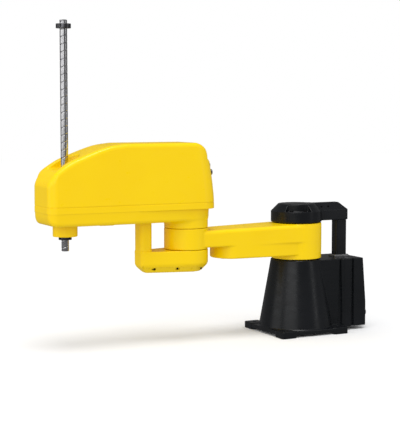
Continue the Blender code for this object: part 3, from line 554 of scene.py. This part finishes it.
def cap_field(x, y, z):
    """The cable duct over the first joint: a dome, its bridge and two pockets for screws."""
    radius, side = np.hypot(x, y), np.abs(y)
    dome = polygon(radius, z, [(-0.02, DOME_LOW), (0.090, DOME_LOW), (0.090, 0.4418),
                               (0.0648, DOME_TOP), (-0.02, DOME_TOP)]) - 0.003
    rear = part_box("duct_top_cap")[0].x
    section = polygon(side, z, [(-0.03, BRIDGE_LOW), (0.026, BRIDGE_LOW), (0.026, BRIDGE_SHOULDER),
                                (0.013, BRIDGE_TOP), (-0.03, BRIDGE_TOP)])
    length = polygon(x, z, [(rear, BRIDGE_LOW), (0.0, BRIDGE_LOW), (0.0, BRIDGE_TOP),
                            (rear + 0.034, BRIDGE_TOP), (rear, BRIDGE_SHOULDER)])
    body = rounded_or(dome, rounded_and(section, length, 0.0025), 0.004)
    pocket = rounded_and(x * math.sin(POCKET_START) - side * math.cos(POCKET_START),
                         side * math.cos(POCKET_STOP) - x * math.sin(POCKET_STOP), 0.006)
    pocket = rounded_and(pocket, 0.0675 - radius, 0.006)
    body = cut(body, rounded_and(pocket, POCKET_FLOOR - z, 0.002), 0.0012)
    space = np.minimum(np.maximum(radius - 0.060, z - 0.436), np.maximum(radius - 0.052, z - 0.458))
    channel = np.maximum(box2(x, y, (rear + 0.007, -0.018), (-0.02, 0.018), 0.004), slab(z, 0.412, 0.444))
    bore = np.maximum(column_bore(x, y), z - 0.42)
    return cut(body, np.minimum(np.minimum(space, channel), bore), 0.001)


def column_bore(x, y):
    """The cable's way through the column, in plan."""
    low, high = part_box("duct_column")
    return box2(x, y, (low.x + 0.005, low.y + 0.005), (high.x - 0.005, high.y - 0.005), 0.003)


def column_field(x, y, z):
    low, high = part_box("duct_column")
    shell = box2(x, y, (low.x, low.y), (high.x, high.y), 0.007)
    return np.maximum(rounded_and(shell, slab(z, low.z, high.z), 0.0015), -shell - 0.005)


def foot_field(x, y, z):
    low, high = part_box("duct_column_foot")
    plate = rounded_and(box2(x, y, (low.x, low.y), (high.x, high.y), 0.004), slab(z, low.z, high.z), 0.0012)
    return cut(plate, column_bore(x, y), 0.0005)


def around(node, margin=0.006):
    """A CAD node's box with a margin all round: (low, high)."""
    low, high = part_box(node)
    return low - Vector((margin,) * 3), high + Vector((margin,) * 3)


def duct_pieces():
    from_field("duct_cap_skin", cap_field, *around("duct_top_cap"), "base", "black_paint",
               LOOKS["black_paint"], "duct_top_cap", step=0.0022)
    from_field("duct_column_skin", column_field, *around("duct_column"), "base", "black_paint",
               LOOKS["black_paint"], "duct_column", step=0.0018)
    from_field("duct_foot_plate", foot_field, *around("duct_column_foot"), "base", "steel",
               LOOKS["steel"], "duct_column_foot", step=0.0012)


def screw_field(radius):
    """A socket screw's head, standing on z = 0."""
    def field(x, y, z):
        head = rounded_and(np.hypot(x, y) - radius, slab(z, -0.001, radius), 0.0006)
        side = np.maximum(np.abs(x), np.abs(x) * 0.5 + np.abs(y) * 0.866) - radius * 0.52
        return cut(head, np.maximum(side, radius * 0.45 - z), 0.0002)
    return field


def screw(name, radius, place, direction, body, *nodes):
    reach = radius + 0.0015
    from_field(name, screw_field(radius), (-reach, -reach, -0.002), (reach, reach, reach), body,
               "dark_steel", LOOKS["black_oxide"], *nodes, step=radius / 13,
               place=standing(place, direction))


def middle(node):
    low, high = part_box(node)
    return (low + high) / 2


def cap_screws():
    for number in range(1, 5):
        node = f"cap_screw_{number}"
        place = middle(node)
        place.z = POCKET_FLOOR
        screw(f"cap_socket_screw_{number}", 0.0045, place, (0, 0, 1), "base", node)
    for number, (x, side) in enumerate(((-0.096, 1), (-0.125, 1), (-0.096, -1), (-0.125, -1)), 1):
        place = (x, side * 0.0195, 0.4555)
        screw(f"bridge_screw_{number}", 0.0032, place, (0, side * 0.9, 0.436), "base")


# Inner arm

ARM_TOP = 0.401
SHOULDER_LOW = 0.272
ELBOW_LOW = 0.3274
KEEL_LOW = 0.2885
KEEL_END = 0.262


def inner_field(x, y, z):
    """Two round bosses and the web between them, with a keel below it near the shoulder."""
    plan = capsule(x, y, 0, 0.0905, ELBOW, 0.0655)
    web = rounded_and(plan, z - 0.4005 + x * 0.022, 0.013)
    nose = np.hypot(np.maximum(x - KEEL_END, 0), y) - 0.0835
    keel = rounded_and(nose, KEEL_LOW - z, 0.005)
    web = rounded_and(web, rounded_or(0.3330 - z, keel, 0.003), 0.006)
    shoulder = rounded_and(cylinder(x, y, (0, 0), 0.092), slab(z, SHOULDER_LOW, ARM_TOP), 0.003)
    elbow = rounded_and(cylinder(x, y, (ELBOW, 0), 0.077), slab(z, ELBOW_LOW, ARM_TOP), 0.003)
    body = rounded_or(rounded_or(web, elbow, 0.0025), shoulder, 0.003)
    channel = box2(x, y, (-0.035, -0.045), (ELBOW + 0.035, 0.045), 0.02)
    channel = np.maximum(channel, slab(z, 0.336, 0.366))
    drive = np.maximum(cylinder(x, y, (0, 0), 0.030), 0.362 - z)
    seat = np.maximum(cylinder(x, y, (ELBOW, 0), 0.062), 0.372 - z)
    outlet = np.maximum(cylinder(x, y, (ELBOW, 0), 0.018), z - 0.340)
    return cut(body, np.minimum(np.minimum(channel, drive), np.minimum(seat, outlet)), 0.001)


def bumper_field(x, y, z):
    low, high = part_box("inner_arm_bumper")
    spot = middle("inner_arm_bumper")
    pad = rounded_and(cylinder(x, y, (spot.x, 0), 0.009), slab(z, low.z, high.z), 0.003)
    return cut(pad, np.maximum(cylinder(x, y, (spot.x, 0), 0.003), z - low.z - 0.002), 0.0005)


def inner_arm_pieces():
    from_field("inner_arm_skin", inner_field, *around("inner_arm_casting"), "inner_arm", "yellow_paint",
               LOOKS["yellow_paint"], "inner_arm_casting", fine=((), (), (ARM_TOP, SHOULDER_LOW)))
    from_field("inner_arm_stop_bumper", bumper_field, *around("inner_arm_bumper", 0.003), "inner_arm",
               "bumper_rubber", LOOKS["bumper_rubber"], "inner_arm_bumper", step=0.0007)


# Outer arm, in x from the elbow

FRONT = 0.535
FRONT_CORNER = 0.032
HALF = 0.088
SEAM = 0.492
CASTING_TOP = 0.4913
RIM_LOW = 0.470
COVER_WALL = 0.0066
SCOOP_FLOOR = 0.6135
SCOOP_HALF = 0.050


def rim_outline(u, v, inset=0.0):
    """The seam between casting and cover in plan: a broad round tail and tight front corners."""
    tail = box2(u, v, (-0.091, -HALF), (0.700, HALF), 0.066)
    front = box2(u, v, (-0.300, -HALF), (FRONT, HALF), FRONT_CORNER)
    return np.maximum(tail, front) + inset


def casting_field(x, y, z):
    """The outer arm's casting: a trough with a round boss under its tail."""
    u = x - ELBOW
    body_front = box2(u, y, (0.190, -HALF), (FRONT, HALF), FRONT_CORNER)
    plan = np.minimum(capsule(u, y, 0, 0.081, 0.230, HALF), body_front)
    plan = plan + (0.4905 - z) * 0.05
    belly = polygon(u, z, [(-0.3, 0.600), (-0.3, 0.428)] + arc((0.502, 0.472), 0.044, -90, 0, 14)
                    + [(0.546, 0.600)])
    body = rounded_and(plan, belly, 0.012)
    boss = rounded_and(cylinder(u, y, (0, 0), 0.0765), np.maximum(0.402 - z, z - 0.45), 0.002)
    body = rounded_or(body, boss, np.clip(0.004 + u * 0.2, 0.004, 0.017))
    body = rounded_and(body, z - CASTING_TOP, 0.0012)
    rim = rounded_and(rim_outline(u, y), slab(z, RIM_LOW, CASTING_TOP), 0.0018)
    body = np.minimum(body, rim)
    inside = np.maximum(plan + 0.008, 0.440 - z)
    holes = np.minimum(cylinder(u, y, (0, 0), 0.032), cylinder(x, y, (WRIST, 0), 0.0285))
    duct = cylinder(u, y, (0.164, 0), 0.014)
    return cut(body, np.minimum(inside, np.minimum(holes, duct)), 0.001)


def gasket_field(x, y, z):
    """The strip in the seam, set back a little from both pieces."""
    outline = rim_outline(x - ELBOW, y)
    return np.maximum(np.maximum(outline + 0.0010, -outline - 0.0062), slab(z, 0.4890, 0.4950))


# The cover from the side, and how far its tail reaches behind the elbow at each height
PROFILE = (
    [(-0.130, 0.440), (0.546, 0.440), (0.546, 0.562)]
    + spline([(0.5235, 0.585), (0.511, 0.604), (0.486, 0.623), (0.450, 0.644), (0.408, 0.661),
              (0.359, 0.679), (0.313, 0.692), (0.260, 0.699)])
    + spline([(-0.004, 0.699), (-0.024, 0.692), (-0.046, 0.678), (-0.056, 0.661), (-0.058, 0.645)])
    + [(-0.130, 0.645)]
)
TAIL_HEIGHTS = (0.470, 0.520, 0.560, 0.585, 0.623, 0.644, 0.700)
TAIL_REACHES = (0.091, 0.0875, 0.083, 0.0795, 0.0735, 0.070, 0.064)


def cover_block(u, y, z):
    """The cover as a solid that runs on downwards."""
    half = HALF - 0.012 * (z - SEAM)
    tail = np.interp(z, TAIL_HEIGHTS, TAIL_REACHES)
    plan = np.maximum(box2(u, y, (-tail, -half), (0.700, half), 0.062),
                      box2(u, y, (-0.300, -half), (FRONT, half), FRONT_CORNER))
    return rounded_and(plan, polygon(u, z, PROFILE), 0.015)


def scoop(u, y, z):
    """The hollow round the shaft, open to the front."""
    plan = np.hypot(np.minimum(u - (WRIST - ELBOW), 0), y) - SCOOP_HALF
    return rounded_and(plan, SCOOP_FLOOR - z, 0.007)


def cover_field(x, y, z):
    """The cover as a shell, with the hollow round the shaft and the opening for the rear panel."""
    u = x - ELBOW
    solid = cut(cover_block(u, y, z), scoop(u, y, z), 0.005)
    shell = cut(rounded_and(solid, 0.4931 - z, 0.0012), solid + COVER_WALL, 0.0005)
    opening = box2(y, z, (-0.052, 0.5125), (0.052, 0.6275), 0.006)
    pocket = np.maximum(np.maximum(opening - 0.007, slab(u, -0.082, -0.0600)), solid)
    shell = np.minimum(shell, pocket)
    shell = cut(shell, np.maximum(opening, u + 0.050), 0.0015)
    return cut(shell, cylinder(x, y, (WRIST, 0), 0.0148), 0.0015)


def outer_arm_pieces():
    from_field("outer_arm_skin", casting_field, *around("outer_arm_casting", 0.018), "outer_arm",
               "yellow_paint", LOOKS["yellow_paint"], "outer_arm_casting",
               fine=((), (), (CASTING_TOP, RIM_LOW)))
    from_field("seam_gasket", gasket_field, (0.350, -0.095, 0.4850), (0.992, 0.095, 0.4990), "outer_arm",
               "yellow_cover", LOOKS["yellow_cover"], step=0.0024)
    from_field("outer_arm_cover_skin", cover_field, *around("outer_arm_cover", 0.018), "outer_arm",
               "yellow_cover", LOOKS["yellow_cover"], "outer_arm_cover", fine=((), (), (0.493, 0.645)))
    from_field("arm_underside_pad", pad_field, *around("underside_pad", 0.003), "outer_arm", "yellow_paint",
               LOOKS["yellow_paint"], "underside_pad", step=0.0010)
    from_field("bearing_housing_skin", housing_field, *around("spindle_bearing_housing", 0.003), "outer_arm",
               "yellow_paint", LOOKS["yellow_paint"], "spindle_bearing_housing", step=0.0011)


def pad_field(x, y, z):
    low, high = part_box("underside_pad")
    return rounded_and(box2(x, y, (low.x, low.y), (high.x, high.y), 0.006), slab(z, low.z, high.z), 0.0015)


def housing_field(x, y, z):
    low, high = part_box("spindle_bearing_housing")
    radius = cylinder(x, y, (WRIST, 0), 0)
    body = rounded_and(radius - 0.0415, slab(z, low.z - 0.0040, high.z), 0.004)
    return cut(body, radius - 0.0300, 0.001)


# Lower duct

LEAN = math.radians(14)
DUCT_LOW = 0.250
DUCT_TOP = 0.326
DUCT_LENGTH = 0.250
DUCT_END = 0.186
DUCT_RADIUS = 0.077
CHAMFER = 0.026


def duct_plan(u, y):
    """The duct from above: a wedge round the elbow, cut off square."""
    tip = DUCT_RADIUS - DUCT_LENGTH * math.sin(LEAN)
    plan = rounded_and(capsule(u, y, 0, DUCT_RADIUS, DUCT_LENGTH, tip), u - DUCT_END, 0.012)
    return plan


def duct_chamfer(plan, z):
    return (plan + DUCT_LOW + CHAMFER - z) * math.sqrt(0.5)


def duct_screw_spots():
    """(place, direction) of the screws on the two long chamfers, halfway up."""
    spots = []
    for side in (1, -1):
        for along in (0.138, 0.058, -0.023):
            normal = Vector((math.sin(LEAN), side * math.cos(LEAN), -1)).normalized()
            out = DUCT_RADIUS - CHAMFER / 2
            across = (out - along * math.sin(LEAN)) / math.cos(LEAN)
            spots.append((Vector((ELBOW + along, side * across, DUCT_LOW + CHAMFER / 2)), normal))
    return spots


def duct_field(x, y, z):
    """The lower duct, hollow, with its column at the front and a recess for each screw."""
    u = x - ELBOW
    plan = duct_plan(u, y)
    box = rounded_and(rounded_and(plan, duct_chamfer(plan, z), 0.006), slab(z, DUCT_LOW, DUCT_TOP), 0.003)
    column = box2(u, y, (0.142, -0.0317), (0.1857, 0.0317), 0.014)
    body = rounded_or(box, np.maximum(column, slab(z, 0.320, 0.4277)), 0.004)
    room = plan + 0.005
    inside = np.maximum(np.maximum(room, (plan + 0.281 - z) * math.sqrt(0.5)), slab(z, 0.2535, 0.321))
    lid = np.maximum(plan + 0.0310, z - 0.2534)
    bore = np.maximum(column + 0.005, 0.31 - z)
    pin = np.maximum(cylinder(u, y, (0, 0), 0.016), 0.30 - z)
    body = cut(body, np.minimum(np.minimum(inside, lid), np.minimum(bore, pin)), 0.001)
    for place, normal in duct_screw_spots():
        dx, dy, dz = x - place.x, y - place.y, z - place.z
        rise = dx * normal.x + dy * normal.y + dz * normal.z
        away = np.sqrt(np.maximum(dx ** 2 + dy ** 2 + dz ** 2 - rise ** 2, 0))
        body = cut(body, np.maximum(away - 0.0078, -0.0022 - rise), 0.0015)
    return body


def lid_field(x, y, z):
    low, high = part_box("lower_duct_lid")
    return rounded_and(duct_plan(x - ELBOW, y) + 0.0316, slab(z, low.z, high.z), 0.0008)


def lower_duct_pieces():
    from_field("lower_duct_skin", duct_field, *around("lower_duct"), "outer_arm", "yellow_paint",
               LOOKS["yellow_paint"], "lower_duct", step=0.0024)
    from_field("lower_duct_cover_plate", lid_field, *around("lower_duct_lid", 0.003), "outer_arm",
               "yellow_paint", LOOKS["yellow_paint"], "lower_duct_lid", step=0.0014)
    for number, (place, normal) in enumerate(duct_screw_spots(), 1):
        screw(f"duct_socket_screw_{number}", 0.0032, place - normal * 0.0021, normal, "outer_arm",
              f"duct_screw_{number}")


# Vertical axis

SHAFT_RADIUS = 0.0125
SHAFT_BORE = 0.0064
LEAD = 0.025
THREAD_DEPTH = 0.0009
SPLINE_DEPTH = 0.0007
GROOVE_HALF = 0.0014
SHAFT_SIDES = 60
SHAFT_RINGS = 800


def shaft_piece():
    """The hollow shaft with its screw thread and its three spline grooves."""
    low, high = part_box("ball_screw_shaft")
    angles = np.arange(SHAFT_SIDES) * 2 * math.pi / SHAFT_SIDES

    def ring(reach, height):
        return np.stack([np.cos(angles) * reach, np.sin(angles) * reach, angles * 0 + height], 1)

    rings = []
    for height in np.linspace(low.z + 0.0012, high.z - 0.0012, SHAFT_RINGS):
        turn = height - LEAD * angles / (2 * math.pi)
        away = np.abs((turn + LEAD / 2) % LEAD - LEAD / 2) * 0.953
        thread = THREAD_DEPTH * np.sqrt(np.maximum(1 - (away / GROOVE_HALF) ** 2, 0))
        away = np.abs((angles * 3 + 0.5) % (2 * math.pi) - math.pi) / 3 * SHAFT_RADIUS
        groove = SPLINE_DEPTH * np.sqrt(np.maximum(1 - (away / GROOVE_HALF) ** 2, 0))
        rings.append(ring(SHAFT_RADIUS - np.maximum(thread, groove), height))
    chamfered = SHAFT_RADIUS - 0.0019
    rings += [ring(chamfered, high.z), ring(0.0070, high.z), ring(SHAFT_BORE, high.z - 0.0006),
              ring(SHAFT_BORE, low.z + 0.0006), ring(0.0070, low.z), ring(chamfered, low.z)]
    mesh = grid_mesh("ball_screw_shaft_skin", rings)
    mesh.transform(Matrix.Translation((WRIST, 0, 0)))
    shown("ball_screw_shaft_skin", mesh, "shaft", "shaft_steel", LOOKS["shaft_steel"], "ball_screw_shaft")


def lock_ring_field(x, y, z):
    """A ring with a groove round it and eight spanner slots from below."""
    low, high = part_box("spindle_lock_ring")
    radius = cylinder(x, y, (WRIST, 0), 0)
    body = rounded_and(radius - 0.022, slab(z, low.z, high.z - 0.001), 0.0008)
    body = cut(body, np.maximum(0.0202 - radius, slab(z, 0.387, 0.3885)), 0.0002)
    turn = np.arctan2(y, x - WRIST)
    slots = 8
    sector = (turn * slots / (2 * math.pi)) % 1 - 0.5
    across = np.abs(sector) * 2 * math.pi / slots * radius
    body = cut(body, np.maximum(np.maximum(across - 0.0026, 0.0178 - radius), z - 0.3865), 0.0003)
    return cut(body, radius - 0.0135, 0.0006)


def collar_field(x, y, z):
    """A collar split at +X, with its clamp screw across the split."""
    low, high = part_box("shaft_stop_collar")
    radius = cylinder(x, y, (WRIST, 0), 0)
    body = rounded_and(radius - 0.025, slab(z, low.z, high.z), 0.0010)
    body = cut(body, radius - 0.0128, 0.0006)
    body = np.maximum(body, -np.maximum(np.abs(y) - 0.0009, WRIST - x))
    bolt = np.hypot(x - WRIST - 0.0195, z - (low.z + high.z) / 2)
    body = cut(body, bolt - 0.0030, 0.0003)
    return cut(body, np.maximum(bolt - 0.0050, 0.0093 - y), 0.0004)


def spindle_pieces():
    shaft_piece()
    from_field("lock_ring_skin", lock_ring_field, *around("spindle_lock_ring", 0.002), "spline_rotor",
               "dark_steel", LOOKS["dark_steel"], "spindle_lock_ring", step=0.0006)
    from_field("stop_collar_skin", collar_field, *around("shaft_stop_collar", 0.002), "shaft", "dark_steel",
               LOOKS["dark_steel"], "shaft_stop_collar", step=0.0007)


# Connectors, behind

def connector(node, body):
    """A round connector: a square flange, a ribbed barrel and an insert with its pins."""
    low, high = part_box(node)
    spot = middle(node)
    slot = "connector_shell"
    half = (high.y - low.y) / 2
    radius = half / 1.25
    face = low.x + 0.018
    place = standing((face, spot.y, spot.z), (-1, 0, 0))
    barrel = [(radius, -0.010), (radius, 0.0035), (radius * 1.06, 0.004), (radius * 1.06, 0.0062),
              (radius * 0.98, 0.0068), (radius * 0.98, 0.0160), (radius, 0.0168), (radius * 0.97, 0.0178),
              (radius * 0.88, 0.0178), (radius * 0.86, 0.0170), (radius * 0.86, 0.0050), (0.002, 0.0050),
              (0.002, -0.010)]
    lathe(f"{node}_barrel", barrel, place, body, slot, LOOKS[slot], node)

    def flange(x, y, z):
        plate = rounded_and(box2(x, y, (-half, -half), (half, half), 0.003), slab(z, 0.0003, 0.003), 0.0006)
        return cut(plate, np.hypot(x, y) - radius, 0.0003)

    from_field(f"{node}_flange", flange, (-half - 0.002, -half - 0.002, -0.001),
               (half + 0.002, half + 0.002, 0.004), body, slot, LOOKS[slot], step=0.0008, place=place)
    insert = [(0.0015, 0.0052), (radius * 0.84, 0.0052), (radius * 0.84, 0.0105), (radius * 0.80, 0.0110),
              (0.0015, 0.0110)]
    lathe(f"{node}_insert", insert, place, body, "black_plastic", LOOKS["black_plastic"])
    connector_pins(node, body, place, radius * 0.5)


def connector_pins(node, body, place, reach, count=7):
    profile = [(0.0002, 0.0105), (0.0009, 0.0105), (0.0009, 0.0145), (0.0006, 0.0150), (0.0002, 0.0150)]
    for number in range(count):
        angle = 2 * math.pi * number / count
        spot = Matrix.Translation((math.cos(angle) * reach, math.sin(angle) * reach, 0))
        lathe(f"{node}_pin_{number + 1}", profile, place @ spot, body, "brass", LOOKS["brass"], count=12)


def air_port(node, body):
    """A push-in air fitting: a hexagonal body and a release ring."""
    low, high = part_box(node)
    spot = middle(node)
    radius = (high.z - low.z) / 2.8
    face = high.x - 0.006
    place = standing((face, spot.y, spot.z), (-1, 0, 0))
    nut = [(radius, -0.005), (radius, 0.0015), (radius * 1.45, 0.002), (radius * 1.45, 0.0095),
           (radius * 1.1, 0.0105), (radius * 0.75, 0.0105), (radius * 0.75, -0.005)]
    lathe(f"{node}_nut", nut, place, body, "brass", LOOKS["brass"], node, flats=6)
    ring = [(radius * 0.72, 0.004), (radius * 0.72, 0.0125), (radius * 0.98, 0.0128),
            (radius * 1.02, 0.0140), (radius * 1.02, 0.0165), (radius * 0.94, 0.0175),
            (radius * 0.58, 0.0175), (radius * 0.52, 0.0168), (radius * 0.52, 0.004)]
    lathe(f"{node}_release_ring", ring, place, body, "black_plastic", LOOKS["black_plastic"])


def panel_pieces():
    softened("rear_connector_panel", LOOKS["black_plastic"], 0.0012)
    softened("arm_rear_panel", LOOKS["black_plastic"], 0.0008)
    for node in ("power_connector", "signal_connector"):
        connector(node, "base")
    connector("user_signal_connector", "outer_arm")
    for node in ("base_air_port_1", "base_air_port_2"):
        air_port(node, "base")
    for number in (1, 2, 3):
        air_port(f"arm_air_port_{number}", "outer_arm")
    low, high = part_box("brake_release_button")
    radius, spot = (high.z - low.z) / 2, middle("brake_release_button")
    button = [(0.0004, -0.004), (radius, -0.004), (radius, 0.0078), (radius - 0.0004, 0.0086),
              (radius - 0.0012, 0.0090), (0.0030, 0.0088), (0.0004, 0.0086)]
    place = standing((high.x - 0.004, spot.y, spot.z), (-1, 0, 0))
    lathe("brake_button_cap", button, place, "brake_button", "button_plastic", LOOKS["button_plastic"],
          "brake_release_button")


def hidden_pieces():
    """CAD nodes under the covers: they keep their shape and get their finish."""
    kept = {
        "motor_housing": ("j1_motor", "j2_motor", "j3_motor", "j4_motor"),
        "steel": ("j1_reducer", "j1_output_flange", "j2_reducer", "spline_nut", "ball_nut",
                  "ball_nut_bearing", "collar_clamp_screw"),
        "aluminium": ("motor_bracket", "spindle_bracket", "spline_pulley", "ball_nut_pulley",
                      "j3_motor_pulley", "j4_motor_pulley"),
        "belt_rubber": ("j3_belt", "j4_belt"),
        "cable_jacket": ("base_harness", "inner_arm_harness", "outer_arm_harness"),
    }
    for finish, nodes in kept.items():
        for node in nodes:
            softened(node, LOOKS[finish], 0.0004)


# Stage

FLOOR_REACH = 14.0
AIM = (0.3, 0, 0.45)
CAMERA_PLACE = (2.380, 3.926, 0.822)
CAMERA_HEADING = (-0.451, -0.892)
CAMERA_DOWN = math.radians(4.75)
# The white backdrop's strength: as light, to the camera, and the share that reflections see
BACKDROP_LIGHT = 0.78
BACKDROP_SEEN = 1.0
BACKDROP_REFLECTED = 0.19


def floor_material():
    made, tree, shader = finish_of("studio_floor")
    tone = blend_colours(tree, noise(tree, 1.5, 2), (0.835, 0.835, 0.835), (0.825, 0.825, 0.83))
    tree.links.new(tone, shader.inputs["Base Color"])
    shader.inputs["Roughness"].default_value = 0.45
    shader.inputs["Specular IOR Level"].default_value = 0.0
    return made


def stage():
    mesh = bpy.data.meshes.new("studio_floor")
    corners = ((-1, -1), (1, -1), (1, 1), (-1, 1))
    mesh.from_pydata([(x * FLOOR_REACH, y * FLOOR_REACH, 0) for x, y in corners], [], [(0, 1, 2, 3)])
    mesh.materials.append(floor_material())
    floor = bpy.data.objects.new("studio_floor", mesh)
    bpy.context.scene.collection.objects.link(floor)
    floor.visible_glossy = False
    floor.visible_diffuse = False


def softbox(name, place, size, power):
    """A rectangular light, in watts, aimed at the arm."""
    light = bpy.data.lights.new(name, "AREA")
    light.shape = "RECTANGLE"
    light.size, light.size_y = size
    light.energy = power
    obj = bpy.data.objects.new(name, light)
    obj.location = place
    obj.rotation_euler = (Vector(AIM) - Vector(place)).to_track_quat("-Z", "Y").to_euler()
    bpy.context.scene.collection.objects.link(obj)


def overhead_light():
    """Light from a wide ceiling, even over the whole floor."""
    light = bpy.data.lights.new("overhead", "SUN")
    light.energy = 1.4
    light.angle = math.radians(30)
    obj = bpy.data.objects.new("overhead", light)
    obj.rotation_euler = Vector((-0.15, -0.7, -3.0)).to_track_quat("-Z", "Y").to_euler()
    bpy.context.scene.collection.objects.link(obj)


def lights():
    """An overhead light, a wide key, a box at the left, a strip at the right and the backdrop."""
    overhead_light()
    softbox("key_box", (3.3, 2.9, 2.0), (3.6, 3.0), 46)
    softbox("left_box", (4.4, -0.4, 1.4), (2.6, 2.6), 20)
    softbox("strip_box", (-2.2, 2.6, 1.3), (0.5, 2.2), 5)
    backdrop()
    bpy.context.scene.view_settings.view_transform = "Standard"


def backdrop():
    world = bpy.data.worlds.new("studio")
    bpy.context.scene.world = world
    world.use_nodes = True
    tree = world.node_tree
    background = tree.nodes["Background"]
    path = tree.nodes.new("ShaderNodeLightPath")
    seen = ramp(tree, path.outputs["Is Camera Ray"], 0, 1, BACKDROP_LIGHT, BACKDROP_SEEN)
    dimmed = ramp(tree, path.outputs["Is Glossy Ray"], 0, 1, 1.0, BACKDROP_REFLECTED)
    background.inputs["Color"].default_value = (1, 1, 1, 1)
    tree.links.new(times(tree, seen, dimmed), background.inputs["Strength"])


def camera():
    """A long lens a little above the arm, on the side that shows the shaft at the left."""
    data = bpy.data.cameras.new("camera")
    data.lens = 107.0
    data.sensor_width = 36.0
    data.clip_end = 100.0
    obj = bpy.data.objects.new("camera", data)
    obj.location = CAMERA_PLACE
    level = math.cos(CAMERA_DOWN)
    forward = Vector((CAMERA_HEADING[0] * level, CAMERA_HEADING[1] * level, -math.sin(CAMERA_DOWN)))
    obj.rotation_euler = forward.to_track_quat("-Z", "Y").to_euler()
    bpy.context.scene.collection.objects.link(obj)
    bpy.context.scene.camera = obj


def main():
    camera()
    lights()
    stage()
    base_pieces()
    duct_pieces()
    cap_screws()
    inner_arm_pieces()
    outer_arm_pieces()
    lower_duct_pieces()
    spindle_pieces()
    panel_pieces()
    hidden_pieces()


main()
